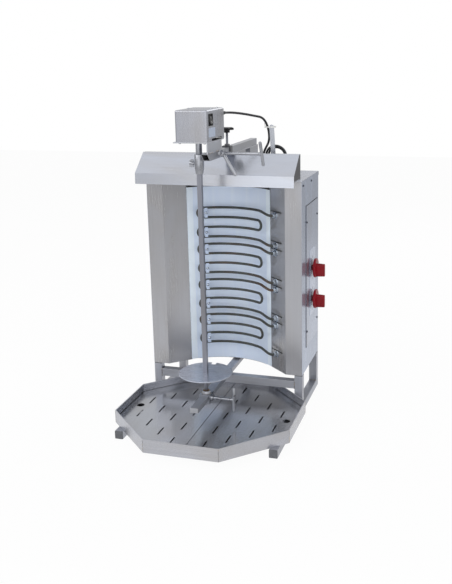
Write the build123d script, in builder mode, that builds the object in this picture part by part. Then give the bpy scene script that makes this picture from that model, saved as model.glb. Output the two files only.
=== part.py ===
"""Electric doner kebab grill, in millimetres.

The origin lies on the ground below the middle of the front legs.
X runs to the right, Y to the rear and Z up.
"""
from math import atan2, cos, degrees, hypot, pi, radians, sin, sqrt, tan
import os

from build123d import *

os.makedirs("parts", exist_ok=True)

# Clearances
slide_gap = 0.3
running_gap = 0.05

# Side frames, cross rails and tie
tube = 25
tube_wall = 1.5
frame_width = 500
frame_depth = 240
rail_overhang = 310
leg_height = 97
cross_rail_drop = 17
pad_height = 3

rear_leg_y = frame_depth - tube
frame_front = -tube / 2
frame_rear = rear_leg_y + tube / 2
rail_front = frame_front - rail_overhang
frame_height = tube + leg_height
frame_x = (frame_width - tube) / 2
inner_width = frame_width - 2 * tube
cross_rail_z = frame_height - cross_rail_drop - tube

# Cabinet
sheet = 1.5
cabinet_height = 615
column_width = 52.5
alcove_half_width = 137
alcove_flare = 55
return_flange = 14
rear_flange = 20
roof_flange = 27
roof_overhang = 5
roof_lip = 13
roof_screw_drop = 16
roof_screw_first = 21.6
roof_screw_second = 134
vent_length = 45
vent_width = 5
vent_inset = 90

half_width = frame_width / 2
cabinet_front = frame_front
cabinet_rear = frame_rear
cabinet_bottom = frame_height + pad_height
cabinet_top = cabinet_bottom + cabinet_height
column_x = half_width - column_width
alcove_edge_y = cabinet_front + alcove_flare
shell_x = half_width - sheet
floor_top = cabinet_bottom + sheet
roof_bottom = cabinet_top - sheet
back_rear = cabinet_rear - sheet
back_front = back_rear - sheet

# Reflector and its insulation
reflector_sheet = 1
reflector_rise = 52
reflector_lead = 2.5
blanket_thickness = 15
blanket_half_width = 110
blanket_margin = 20
shield_inset = 82
shield_front = 62
shield_foot = 12

shield_x = half_width - shield_inset
reflector_edge_y = alcove_edge_y - reflector_lead
reflector_radius = (alcove_half_width**2 + reflector_rise**2) / (2 * reflector_rise)
reflector_centre_y = reflector_edge_y + reflector_rise - reflector_radius

# Heating elements
rod = 8
element_count = 4
line_pitch = 31.5
element_pitch = 118.5
first_line_z = 188
element_offset = 18
element_radius = 168
left_bend_angle = 31.9
right_bend_angle = 35
lead_out_angle = 36
terminal_x = 159
terminal_drop = 10
terminal_length = 22
nut_size = 16
nut_height = 9
clip_x = 79
clip_width = 10
clip_sheet = 1.5
stud = 5

element_centre_y = reflector_edge_y + reflector_rise - element_offset - element_radius
bend_radius = line_pitch / 2

# Hood
hood_half_width = 247
hood_lip = 33
hood_lip_lean = 1
hood_reach = 85
hood_top_depth = 16
hood_rise = 82
hood_gap = 4
hood_drop = 7
hood_foot = 20
end_plate_raise = 17

hood_back_y = cabinet_front - hood_gap
hood_top = cabinet_top + hood_rise
hood_bottom = cabinet_top - hood_drop
hood_break_z = hood_bottom + hood_lip
hood_front_y = hood_back_y - hood_reach

# Service door, knobs and switches
door_inset = 57
door_width = 167
door_raise = 75
door_height = 455
door_sheet = 1.5
door_rim = 16
door_screw_side = 7
door_screw_end = 51
screw_shank = 4
screw_head = 7
screw_head_height = 2.4
screw_length = 8
knob_inset = 89
knob_raise = 137
knob_pitch = 103
plate_width = 80
plate_raise = 90
plate_height = 215
plate_sheet = 0.5
knob_disc = 62
knob_disc_depth = 8
knob_neck = 20
knob_neck_depth = 5.5
knob_grip_width = 14
knob_grip_length = 44
knob_grip_drop = 7
knob_grip_depth = 26
knob_gap = 0.5
spindle = 6
switch_body = 40
switch_depth = 42
switch_tab_width = 2
switch_tab_height = 6
switch_tab_reach = 8
terminal_block_length = 90
terminal_block_depth = 20
terminal_block_height = 24
terminal_block_raise = 80
gland_bore = 16
mains_gland_inset = 45
mains_gland_height = 50

door_front = cabinet_front + door_inset
door_bottom = cabinet_bottom + door_raise
knob_y = door_front + knob_inset
knob_z = door_bottom + knob_raise
plate_bottom = door_bottom + plate_raise
door_face = half_width + door_sheet
plate_face = door_face + plate_sheet
knob_back = plate_face + knob_gap

# Drip tray and plates
tray_width = 544
tray_length = 528.5
tray_front = -431.5
tray_cut = 160
tray_height = 40
tray_sheet = 1.5
tray_hem = 8
plate_clearance = 1
plate_seam = 2
plate_top = 40
slot_length = 48
slot_width = 5
slot_pitch = 99
slot_column_x = (49, 104, 160, 214)
slot_first_y = (24, -23, -75, -122)
slot_counts = (5, 4, 3, 2)
finger_hole = 24
finger_hole_x = 236
finger_hole_y = -165

tray_y = tray_front + tray_length / 2
tray_bottom = tube + slide_gap
tray_floor = tray_bottom + tray_sheet

# Spit
spit_y = -205.5
skewer_side = 13
skewer_bottom = 124
skewer_square_from = 172
skewer_pin = 12
disc_diameter = 160
disc_sheet = 3
disc_z = 186.5
disc_hub = 30
disc_notch = 15
shaft = 18
shaft_rise = 28
shaft_spigot = 12
shaft_spigot_length = 11
chuck_diameter = 27
chuck_tip = 21
chuck_length = 55
chuck_cone = 21
chuck_drop = 36
chuck_screw_shank = 8
wing_height = 22
wing_width = 12
wing_thickness = 4

# Upper arm, its cradle and the motor head
arm = 20
arm_wall = 1.5
arm_x = 37
arm_raise = 85
arm_front = -266.5
arm_rear = 215.5
arm_mitre = 20
cradle_sheet = 2.7
cradle_width = 26
cradle_front = -74.5
cradle_rear = 219.5
pedestal_fronts = (4.5, 127.5)
pedestal_lengths = (75, 92)
pedestal_wall = 2
strap_sheet = 3
strap_length = 20
clamp_shank = 8
clamp_nut = 14
clamp_nut_height = 5
clamp_hub = 17.5
clamp_reach = 38
clamp_hub_height = 8
clamp_knob = 36
clamp_knob_height = 7
clamp_lobes = 6
bracket_sheet = 3
bracket_left = -53
bracket_length = 144
web_length = 122
web_height = 32
cover_width = 94
cover_inset = 4
cover_length = 147
cover_height = 86
cover_sheet = 1.5
cover_radius = 5
cover_gap_height = 7
cover_gap_inset = 35
cover_gap_length = 85
switch_inset = 28.5
switch_raise = 59
bezel_width = 29
bezel_height = 33
bezel_depth = 2
housing_width = 26
housing_height = 30
housing_depth = 19
rocker_width = 22
rocker_reach = 11.5
rocker_pivot_depth = 3.5
rocker_pin = 3
gearbox = (62, 61, 53)
motor_diameter = 54
motor_length = 45
motor_x = -7

arm_bottom = cabinet_top + arm_raise
arm_top = arm_bottom + arm
arm_left = arm_x - arm / 2
arm_right = arm_x + arm / 2
bracket_top = arm_top + web_height
bracket_front = arm_front
bracket_rear = bracket_front + bracket_length
web_rear = bracket_front + web_length
cover_top = bracket_top + cover_height
cover_right = cover_width / 2
cover_front = bracket_front + cover_inset
cover_gap_front = cover_front + cover_gap_inset
switch_y = cover_front + switch_inset
switch_z = bracket_top + switch_raise
cover_rear = cover_front + cover_length
cradle_top = arm_bottom - slide_gap
strap_top = arm_top + 2 * slide_gap + strap_sheet
clamp_y = cradle_front + strap_length / 2
clamp_hub_z = strap_top + clamp_reach
chuck_top = bracket_top - bracket_sheet - chuck_drop
chuck_bottom = chuck_top - chuck_length
chuck_shoulder = chuck_bottom + chuck_cone
chuck_screw_z = arm_bottom - wing_height / 2 - 1

# Upper handle and lock lever
handle_inset = 97
handle_raise = 13
handle_rod = 9
handle_length = 126.5
handle_bar = 78
handle_tilt = 25
boss_diameter = 16
boss_length = 6
lever_collar = 20
lever_collar_length = 10
lever_reach = 49
lever_fall = 63
lever_rod = 9.5

handle_y = arm_front + handle_inset
handle_z = arm_bottom + handle_raise
handle_end_x = arm_right - arm_wall + handle_length
lever_reach_x = arm_right + lever_reach
lever_reach_z = handle_z - lever_fall

# Lower arm, carriage and handle
lower_arm_width = 25
lower_arm_height = 15
lower_arm_front = -312.5
carriage_wall = 3.2
carriage_length = 40
cup_diameter = 28
bush_diameter = 20
cup_height = 8.5
cup_drop = 10
lower_rod = 9
lower_handle_length = 73
lower_handle_raise = 5
lower_bar = 75
lower_boss = 18
lower_boss_length = 6

lower_arm_bottom = cross_rail_z + tube
lower_arm_top = lower_arm_bottom + lower_arm_height
lower_handle_x = lower_arm_width / 2 + 2 * slide_gap + lower_handle_length
lower_handle_z = lower_arm_bottom + lower_handle_raise
carriage_half_width = lower_arm_width / 2 + slide_gap + carriage_wall
carriage_top = lower_arm_top + slide_gap + carriage_wall
carriage_bottom = lower_arm_bottom - slide_gap - carriage_wall

# Motor lead, its coil and post
lead = 7
gland_inset = 8
gland_drop = 17
gland_diameter = 14
gland_length = 6
post_x = 151
post_y = 50
post_lean = 8
post_width = 14
post_sheet = 3
post_foot = 14
post_height = 162
coil_x = 148
coil_raise = 63
coil_y = 66
coil_outer = 38
coil_inner = 26
coil_turns = 2 + 30 / 360
coil_steps = 8
coil_start = 150
coil_pitch = 9.5
coil_end_run = lead
roof_gland_x = 122
roof_gland_y = 91
roof_gland_height = 12
tie_width = 3.5
tie_thickness = 1.4
tie_x = 138.5
tie_y = 52.5
tie_drop = 9
tie_length = 31
tie_depth = 18
tie_tail = 22

gland_x = cover_right - gland_inset
gland_z = cover_top - gland_drop
post_top = cabinet_top + post_height
coil_z = cabinet_top + coil_raise
roof_gland_top = cabinet_top + roof_gland_height
tie_z = post_top - tie_drop


def folded(points, thickness):
    """Closed outline of a sheet folded along points, thickened to the left of the way they run."""
    normals = []
    for (x0, y0), (x1, y1) in zip(points, points[1:]):
        length = hypot(x1 - x0, y1 - y0)
        normals.append((-(y1 - y0) / length, (x1 - x0) / length))
    inner = []
    for i, (x, y) in enumerate(points):
        before = normals[max(i - 1, 0)]
        after = normals[min(i, len(normals) - 1)]
        scale = thickness / (1 + before[0] * after[0] + before[1] * after[1])
        inner.append((x + (before[0] + after[0]) * scale, y + (before[1] + after[1]) * scale))
    return points + inner[::-1]


def draw_outline(points):
    """Fill a closed outline in the sketch in hand."""
    Polygon(*points, align=None)


def octagon_points(inset):
    """Corners of the drip tray's octagon, drawn in by inset on every side."""
    x = tray_width / 2 - inset
    y = tray_length / 2 - inset
    cut = tray_cut - inset * (2 - sqrt(2))
    quarter = [(x, y - cut), (x - cut, y)]
    corners = quarter + [(-a, b) for a, b in quarter[::-1]]
    return corners + [(-a, -b) for a, b in corners]


def save(part, label):
    """Label a finished piece and write its file."""
    part.label = label
    export_step(part, f"parts/{label}.step")


# Side frames: a rail on the ground with a front and a rear leg
def make_side_frame(x, label):
    with BuildPart() as frame:
        with BuildSketch(Plane.XZ.offset(-frame_rear)):
            with Locations((x, tube / 2)):
                Rectangle(tube, tube)
                Rectangle(tube - 2 * tube_wall, tube - 2 * tube_wall, mode=Mode.SUBTRACT)
        extrude(amount=frame_rear - rail_front)
        with BuildSketch(Plane.XY.offset(tube)):
            with Locations((x, 0), (x, rear_leg_y)):
                Rectangle(tube, tube)
                Rectangle(tube - 2 * tube_wall, tube - 2 * tube_wall, mode=Mode.SUBTRACT)
        extrude(amount=leg_height)
    save(frame.part, label)


make_side_frame(-frame_x, "left_side_frame")
make_side_frame(frame_x, "right_side_frame")


# Cross members between the side frames
def make_cross_members(places, bottom, label):
    with BuildPart() as rails:
        with BuildSketch(Plane.YZ.offset(-inner_width / 2)):
            with Locations(*[(y, bottom + tube / 2) for y in places]):
                Rectangle(tube, tube)
                Rectangle(tube - 2 * tube_wall, tube - 2 * tube_wall, mode=Mode.SUBTRACT)
        extrude(amount=inner_width)
    save(rails.part, label)


make_cross_members((0, rear_leg_y), cross_rail_z, "cross_rails")
make_cross_members((0,), 0, "floor_tie")

# Plastic plugs in the rail ends, with a thin head outside, and pads on the legs
with BuildPart() as plugs:
    with BuildSketch(Plane.XZ.offset(-(rail_front + 10))):
        with Locations((-frame_x, tube / 2), (frame_x, tube / 2)):
            Rectangle(tube - 2 * tube_wall, tube - 2 * tube_wall)
    extrude(amount=10)
    with BuildSketch(Plane.XZ.offset(-rail_front)):
        with Locations((-frame_x, tube / 2), (frame_x, tube / 2)):
            RectangleRounded(tube, tube, 2)
    extrude(amount=2)
    with BuildSketch(Plane.XZ.offset(-frame_rear)):
        with Locations((-frame_x, tube / 2), (frame_x, tube / 2)):
            Rectangle(tube - 2 * tube_wall, tube - 2 * tube_wall)
    extrude(amount=10)
    with BuildSketch(Plane.XZ.offset(-frame_rear - 2)):
        with Locations((-frame_x, tube / 2), (frame_x, tube / 2)):
            RectangleRounded(tube, tube, 2)
    extrude(amount=2)
    with BuildSketch(Plane.XY.offset(frame_height)):
        with Locations(*[(x, y) for x in (-frame_x, frame_x) for y in (0, rear_leg_y)]):
            RectangleRounded(tube, tube, 2)
    extrude(amount=pad_height)
save(plugs.part, "plugs_and_pads")

# Side panels, each one sheet folded from the rear edge round to the alcove
left_fold = [
    (-half_width + rear_flange, cabinet_rear),
    (-half_width, cabinet_rear),
    (-half_width, cabinet_front),
    (-column_x, cabinet_front),
    (-alcove_half_width, alcove_edge_y),
    (-alcove_half_width, alcove_edge_y + return_flange),
]
right_fold = [(-x, y) for x, y in left_fold[::-1]]
flare_angle = degrees(atan2(alcove_flare, column_x - alcove_half_width))
terminal_y = cabinet_front + (column_x - terminal_x) * tan(radians(flare_angle))
inward = Vector(sin(radians(flare_angle)), cos(radians(flare_angle)), 0)
line_heights = [
    first_line_z + element_pitch * i + line_pitch * j for i in range(element_count) for j in range(4)
]
terminal_heights = [
    z - terminal_drop for i, z in enumerate(line_heights) if i % 4 in (0, 3)
]
door_centre = (door_front + door_width / 2, door_bottom + door_height / 2)
door_screws = [
    (y, z)
    for y in (door_front + door_screw_side, door_front + door_width - door_screw_side)
    for z in (door_bottom + door_screw_end, door_bottom + door_height - door_screw_end)
]
roof_screws = [
    (cabinet_front + along, cabinet_top - roof_screw_drop) for along in (roof_screw_first, roof_screw_second)
]

with BuildPart() as left_panel:
    with BuildSketch(Plane.XY.offset(cabinet_bottom)):
        draw_outline(folded(left_fold, sheet))
    extrude(amount=roof_bottom - cabinet_bottom)
    with BuildSketch(Plane.YZ.offset(-half_width)):
        with Locations(*roof_screws):
            Circle(screw_shank / 2)
    extrude(amount=sheet, mode=Mode.SUBTRACT)
save(left_panel.part, "left_side_panel")

with BuildPart() as right_panel:
    with BuildSketch(Plane.XY.offset(cabinet_bottom)):
        draw_outline(folded(right_fold, sheet))
    extrude(amount=roof_bottom - cabinet_bottom)
    with BuildSketch(Plane.YZ.offset(half_width - sheet)):
        with Locations(door_centre):
            Rectangle(door_width - 2 * door_rim, door_height - 2 * door_rim)
        with Locations(*door_screws, *roof_screws):
            Circle(screw_shank / 2)
    extrude(amount=sheet, mode=Mode.SUBTRACT)
    for z in terminal_heights:
        face_point = Vector(terminal_x, terminal_y, z)
        with BuildSketch(Plane(face_point - inward * 2, x_dir=(0, 0, 1), z_dir=inward)):
            Circle(rod / 2)
        extrude(amount=6, mode=Mode.SUBTRACT)
save(right_panel.part, "right_side_panel")

# Floor panel, cut back round the alcove
with BuildPart() as floor_panel:
    with BuildSketch(Plane.XY.offset(cabinet_bottom)):
        inner_fold = folded(left_fold, sheet)[len(left_fold):][::-1][1:5]
        left_side = [(x, min(y, back_rear)) for x, y in inner_fold]
        draw_outline(left_side + [(-x, y) for x, y in left_side[::-1]])
        with Locations((0, alcove_edge_y + return_flange / 2)):
            Rectangle(2 * (alcove_half_width + sheet), return_flange + 2 * sheet, mode=Mode.SUBTRACT)
        with Locations((0, reflector_centre_y)):
            Circle(reflector_radius + reflector_sheet, mode=Mode.SUBTRACT)
    extrude(amount=sheet)
save(floor_panel.part, "floor_panel")

# Back panel between the side panels, with vent slots and the mains gland's hole
gland_at = (half_width - mains_gland_inset, cabinet_bottom + mains_gland_height)
with BuildPart() as back_panel:
    with BuildSketch(Plane.XZ.offset(-back_rear)):
        with Locations((0, (floor_top + roof_bottom) / 2)):
            Rectangle(2 * shell_x, roof_bottom - floor_top)
        for z in (cabinet_bottom + vent_inset, cabinet_top - vent_inset):
            with Locations((0, z)):
                with GridLocations(vent_length + 20, 3 * vent_width, 5, 4):
                    SlotOverall(vent_length, vent_width, mode=Mode.SUBTRACT)
        with Locations(gland_at):
            Circle(gland_bore / 2, mode=Mode.SUBTRACT)
    extrude(amount=sheet)
save(back_panel.part, "back_panel")

# Roof with side flanges inside the panels and a rounded lip at the rear
with BuildPart() as roof:
    with BuildSketch(Plane.XY.offset(roof_bottom)):
        with Locations((0, (cabinet_front + cabinet_rear) / 2)):
            Rectangle(2 * half_width, cabinet_rear - cabinet_front)
        with Locations((roof_gland_x, roof_gland_y)):
            Circle(lead / 2 + 2, mode=Mode.SUBTRACT)
    extrude(amount=sheet)
    for inner_face in (-shell_x, shell_x - sheet):
        with BuildSketch(Plane.YZ.offset(inner_face)):
            with Locations(((cabinet_front + back_front) / 2, roof_bottom - roof_flange / 2)):
                Rectangle(back_front - cabinet_front - roof_flange, roof_flange)
        extrude(amount=sheet)
    with BuildSketch(Plane.YZ.offset(-half_width)) as lip:
        with Locations((cabinet_rear, cabinet_top)):
            Rectangle(roof_overhang, roof_lip, align=(Align.MIN, Align.MAX))
        fillet(lip.vertices().group_by(Axis.X)[-1].sort_by(Axis.Y)[-1], radius=4)
        with Locations((cabinet_rear, roof_bottom)):
            Rectangle(roof_overhang - sheet, roof_lip, align=(Align.MIN, Align.MAX), mode=Mode.SUBTRACT)
    extrude(amount=2 * half_width)
    with BuildSketch(Plane.YZ.offset(-shell_x)):
        with Locations(*roof_screws):
            Circle(screw_shank / 2)
    extrude(amount=2 * shell_x, mode=Mode.SUBTRACT)
save(roof.part, "roof_panel")

# Concave reflector with a return flange along each side
with BuildPart() as reflector:
    with BuildSketch(Plane.XY.offset(floor_top)):
        with Locations((0, reflector_centre_y)):
            Circle(reflector_radius + reflector_sheet)
            Circle(reflector_radius, mode=Mode.SUBTRACT)
        with Locations((0, reflector_edge_y)):
            Rectangle(
                2 * alcove_half_width, 2 * reflector_rise, align=(Align.CENTER, Align.MIN),
                mode=Mode.INTERSECT,
            )
        for side in (-1, 1):
            with Locations((side * (alcove_half_width - reflector_sheet / 2), reflector_edge_y)):
                Rectangle(reflector_sheet, return_flange, align=(Align.CENTER, Align.MIN))
    extrude(amount=roof_bottom - floor_top)
save(reflector.part, "reflector")

# Insulation blanket laid on the back of the reflector
with BuildPart() as blanket:
    with BuildSketch(Plane.XY.offset(floor_top + blanket_margin)):
        with Locations((0, reflector_centre_y)):
            Circle(reflector_radius + reflector_sheet + blanket_thickness)
            Circle(reflector_radius + reflector_sheet, mode=Mode.SUBTRACT)
        with Locations((0, alcove_edge_y)):
            Rectangle(
                2 * blanket_half_width, 3 * reflector_rise, align=(Align.CENTER, Align.MIN),
                mode=Mode.INTERSECT,
            )
    extrude(amount=roof_bottom - floor_top - 2 * blanket_margin)
save(blanket.part, "insulation_blanket")

# Wiring shield between the blanket and the switches
with BuildPart() as shield:
    with BuildSketch(Plane.XY.offset(floor_top)):
        with Locations((shield_x, shield_front)):
            Rectangle(sheet, back_front - shield_front, align=(Align.MIN, Align.MIN))
    extrude(amount=roof_bottom - floor_top - roof_flange)
    with BuildSketch(Plane.XY.offset(floor_top)):
        with Locations((shield_x, shield_front)):
            Rectangle(shield_foot, back_front - shield_front, align=(Align.MIN, Align.MIN))
    extrude(amount=sheet)
save(shield.part, "wiring_shield")


# Heating elements: four lines bent from one rod, on an arc in front of the reflector
def on_arc(angle, z):
    """Point of an element's line at an angle from the middle, seen from the arc's centre."""
    turn = radians(angle)
    return Vector(element_radius * sin(turn), element_centre_y + element_radius * cos(turn), z)


def along_arc(angle):
    """Direction of an element's line at an angle, towards the right."""
    return Vector(cos(radians(angle)), -sin(radians(angle)), 0)


def make_element(bottom, label):
    heights = [bottom + line_pitch * i for i in range(4)]
    with BuildPart() as element:
        with BuildLine() as path:
            for z, way in ((heights[0], -1), (heights[3], 1)):
                face = Vector(terminal_x, terminal_y, z - terminal_drop)
                enter = face - inward * (nut_height + 1)
                Line(face + inward * terminal_length, enter)
                Spline(
                    enter, on_arc(lead_out_angle, z),
                    tangents=(inward * -1, along_arc(lead_out_angle) * -1),
                )
                ThreePointArc(on_arc(lead_out_angle, z), on_arc(0, z), on_arc(-left_bend_angle, z))
            for z in (heights[1], heights[2]):
                ThreePointArc(on_arc(right_bend_angle, z), on_arc(0, z), on_arc(-left_bend_angle, z))
            for low, high, angle, side in (
                (heights[0], heights[1], -left_bend_angle, -1),
                (heights[2], heights[3], -left_bend_angle, -1),
                (heights[1], heights[2], right_bend_angle, 1),
            ):
                apex = on_arc(angle, (low + high) / 2) + along_arc(angle) * (side * bend_radius)
                ThreePointArc(on_arc(angle, low), apex, on_arc(angle, high))
        start = Vector(terminal_x, terminal_y, heights[0] - terminal_drop) + inward * terminal_length
        with BuildSketch(Plane(start, x_dir=(0, 0, 1), z_dir=inward * -1)):
            Circle(rod / 2)
        sweep(path=path.wire())
    save(element.part, label)


for i in range(element_count):
    make_element(first_line_z + element_pitch * i, f"heating_element_{i + 1}")

# Hexagon nuts where the rods enter the slanted face
with BuildPart() as nuts:
    for z in terminal_heights:
        with BuildSketch(Plane(Vector(terminal_x, terminal_y, z), x_dir=(0, 0, 1), z_dir=inward * -1)):
            RegularPolygon(nut_size / 2, 6, major_radius=False)
            Circle(rod / 2, mode=Mode.SUBTRACT)
        extrude(amount=nut_height)
save(nuts.part, "element_nuts")

# Clips that hold the rods off the reflector, each with its stud
clip_angle = degrees(atan2(clip_x, sqrt(element_radius**2 - clip_x**2)))
with BuildPart() as clips:
    for i in range(element_count):
        for low in (0, 2):
            z = first_line_z + element_pitch * i + line_pitch * (low + 0.5)
            middle = on_arc(-clip_angle, z)
            outward = Vector(-sin(radians(clip_angle)), cos(radians(clip_angle)), 0)
            front = middle - outward * (rod / 2)
            with BuildSketch(Plane(front, x_dir=(0, 0, 1), z_dir=outward * -1)):
                Rectangle(line_pitch, clip_width)
                Circle(stud / 2, mode=Mode.SUBTRACT)
            extrude(amount=clip_sheet)
            with BuildSketch(Plane(front - outward * 4, x_dir=(0, 0, 1), z_dir=outward)):
                Circle(stud / 2)
            extrude(amount=element_offset + rod / 2)
save(clips.part, "element_clips")

# Hood: foot on the roof, back, top, slope and front lip from one sheet
hood_fold = [
    (hood_back_y + hood_foot, cabinet_top + sheet),
    (hood_back_y, cabinet_top + sheet),
    (hood_back_y, hood_top),
    (hood_back_y - hood_top_depth, hood_top),
    (hood_front_y + hood_lip_lean, hood_break_z),
    (hood_front_y, hood_bottom),
]
with BuildPart() as hood:
    with BuildSketch(Plane.YZ.offset(-hood_half_width)):
        draw_outline(folded(hood_fold, sheet))
    extrude(amount=2 * hood_half_width)
save(hood.part, "hood")

hood_inside = folded(hood_fold, sheet)[len(hood_fold):][::-1][2:5]
with BuildPart() as hood_ends:
    with BuildSketch(Plane.YZ.offset(-hood_half_width)):
        end_bottom = cabinet_top + end_plate_raise - hood_drop
        draw_outline(
            hood_inside + [(hood_inside[2][0], end_bottom), (hood_inside[0][0], end_bottom)]
        )
    extrude(amount=sheet)
    mirror(about=Plane.YZ)
save(hood_ends.part, "hood_end_plates")

# Service door, control plate and the screws in the side panels
knob_places = [(knob_y, knob_z), (knob_y, knob_z + knob_pitch)]
with BuildPart() as door:
    with BuildSketch(Plane.YZ.offset(half_width)):
        with Locations(door_centre):
            Rectangle(door_width, door_height)
        with Locations(*door_screws):
            Circle(screw_shank / 2, mode=Mode.SUBTRACT)
        with Locations(*knob_places):
            Circle(spindle / 2 + 1, mode=Mode.SUBTRACT)
    extrude(amount=door_sheet)
save(door.part, "service_door")

with BuildPart() as control_plate:
    with BuildSketch(Plane.YZ.offset(door_face)):
        with Locations((knob_y, plate_bottom + plate_height / 2)):
            RectangleRounded(plate_width, plate_height, 4)
        with Locations(*knob_places):
            Circle(spindle / 2 + 1, mode=Mode.SUBTRACT)
    extrude(amount=plate_sheet)
save(control_plate.part, "control_plate")

with BuildPart() as panel_screws:
    for face, sign, places in (
        (door_face, 1, door_screws), (half_width, 1, roof_screws), (-half_width, -1, roof_screws),
    ):
        with BuildSketch(Plane.YZ.offset(face)):
            with Locations(*places):
                Circle(screw_head / 2)
        extrude(amount=sign * screw_head_height)
        with BuildSketch(Plane.YZ.offset(face)):
            with Locations(*places):
                Circle(screw_shank / 2)
        extrude(amount=-sign * screw_length)
save(panel_screws.part, "panel_screws")

# Heat switches behind the door, one behind each knob
with BuildPart() as switches:
    with BuildSketch(Plane.YZ.offset(half_width - switch_depth)):
        with Locations(*knob_places):
            Rectangle(switch_body, switch_body)
    extrude(amount=switch_depth)
    with BuildSketch(Plane.YZ.offset(half_width - switch_depth / 2)):
        with Locations(*knob_places):
            Circle(spindle / 2 + running_gap)
    extrude(amount=switch_depth / 2, mode=Mode.SUBTRACT)
    with BuildSketch(Plane.YZ.offset(half_width - switch_depth)):
        for y, z in knob_places:
            with Locations((y, z)):
                with GridLocations(switch_body / 2, switch_body / 3, 2, 3):
                    Rectangle(switch_tab_width, switch_tab_height)
    extrude(amount=-switch_tab_reach)
save(switches.part, "heat_switches")


# Knobs: neck, disc and a bar grip set below the pointer, on the spindle that turns the switch
def make_knob(z, name):
    with BuildPart() as knob:
        with BuildSketch(Plane.YZ.offset(knob_back)):
            with Locations((knob_y, z)):
                Circle(knob_neck / 2)
        extrude(amount=knob_neck_depth)
        disc_back = knob_back + knob_neck_depth
        with BuildSketch(Plane.YZ.offset(disc_back)):
            with Locations((knob_y, z)):
                Circle(knob_disc / 2)
        extrude(amount=knob_disc_depth)
        chamfer(knob.edges().filter_by(GeomType.CIRCLE).group_by(SortBy.RADIUS)[-1], length=1.5)
        with BuildSketch(Plane.YZ.offset(disc_back + knob_disc_depth)):
            with Locations((knob_y, z - knob_grip_drop)):
                SlotOverall(knob_grip_length, knob_grip_width, rotation=90)
        extrude(amount=knob_grip_depth, taper=3)
        fillet(knob.faces().sort_by(Axis.X)[-1].edges(), radius=2)
        with BuildSketch(Plane.YZ.offset(knob_back)):
            with Locations((knob_y, z)):
                Circle(spindle / 2)
        extrude(amount=-(knob_back - half_width + switch_depth / 2 - 1))
    save(knob.part, f"{name}_knob")


make_knob(knob_z, "lower")
make_knob(knob_z + knob_pitch, "upper")

# Terminal block on the shield and the mains gland in the back panel
with BuildPart() as terminals:
    with BuildSketch(Plane.YZ.offset(shield_x + sheet)):
        with Locations((knob_y, cabinet_bottom + terminal_block_raise)):
            Rectangle(terminal_block_length, terminal_block_height)
    extrude(amount=terminal_block_depth)
    with BuildSketch(Plane.YZ.offset(shield_x + sheet + terminal_block_depth)):
        with Locations((knob_y, cabinet_bottom + terminal_block_raise)):
            with GridLocations(terminal_block_length / 6, terminal_block_height / 2, 6, 2):
                Circle(2.5)
    extrude(amount=-6, mode=Mode.SUBTRACT)
save(terminals.part, "terminal_block")

with BuildPart() as mains_gland:
    with BuildSketch(Plane.XZ.offset(-back_front)):
        with Locations(gland_at):
            Circle(gland_bore / 2)
    extrude(amount=-sheet)
    with BuildSketch(Plane.XZ.offset(-back_rear)):
        with Locations(gland_at):
            RegularPolygon(gland_bore / 2 + 4, 6, major_radius=False)
    extrude(amount=-8)
    with BuildSketch(Plane.XZ.offset(-(back_front))):
        with Locations(gland_at):
            RegularPolygon(gland_bore / 2 + 4, 6, major_radius=False)
    extrude(amount=6)
    with BuildSketch(Plane.XZ.offset(-(back_front - 10))):
        with Locations(gland_at):
            Circle(gland_bore / 2 - 4)
    extrude(amount=-30, mode=Mode.SUBTRACT)
save(mains_gland.part, "mains_gland")

# Drip tray with a hemmed rim
with BuildPart() as tray:
    with BuildSketch(Plane.XY.offset(tray_bottom)):
        with Locations((0, tray_y)):
            Polygon(*octagon_points(0), align=None)
    extrude(amount=tray_height)
    with BuildSketch(Plane.XY.offset(tray_floor)):
        with Locations((0, tray_y)):
            Polygon(*octagon_points(tray_sheet), align=None)
    extrude(amount=tray_height, mode=Mode.SUBTRACT)
    with BuildSketch(Plane.XY.offset(tray_bottom + tray_height - tray_hem)):
        with Locations((0, tray_y)):
            Polygon(*octagon_points(tray_sheet), align=None)
            Polygon(*octagon_points(2 * tray_sheet), align=None, mode=Mode.SUBTRACT)
    extrude(amount=tray_hem)
save(tray.part, "drip_tray")


# Two slotted drip plates with a skirt that stands in the tray
def make_drip_plate(side, label):
    rim = 2 * tray_sheet + plate_clearance
    half = (side * (tray_width + plate_seam) / 2, tray_y)
    with BuildPart() as plate:
        with BuildSketch(Plane.XY.offset(tray_floor + slide_gap)):
            with Locations((0, tray_y)):
                Polygon(*octagon_points(rim), align=None)
            with Locations(half):
                Rectangle(tray_width, tray_length, mode=Mode.INTERSECT)
        extrude(amount=plate_top - tray_floor - slide_gap)
        with BuildSketch(Plane.XY.offset(tray_floor + slide_gap)):
            with Locations((0, tray_y)):
                Polygon(*octagon_points(rim + tray_sheet), align=None)
            with Locations((half[0] + side * tray_sheet, tray_y)):
                Rectangle(tray_width, tray_length, mode=Mode.INTERSECT)
        extrude(amount=plate_top - tray_floor - slide_gap - tray_sheet, mode=Mode.SUBTRACT)
        with BuildSketch(Plane.XY.offset(plate_top)):
            for x, first_y, count in zip(slot_column_x, slot_first_y, slot_counts):
                with Locations(*[(side * x, first_y - slot_pitch * i) for i in range(count)]):
                    SlotOverall(slot_length, slot_width, rotation=90)
            with Locations((side * finger_hole_x, finger_hole_y)):
                Circle(finger_hole / 2)
        extrude(amount=-2 * tray_sheet, mode=Mode.SUBTRACT)
    save(plate.part, label)


make_drip_plate(-1, "drip_plate_left")
make_drip_plate(1, "drip_plate_right")

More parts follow.
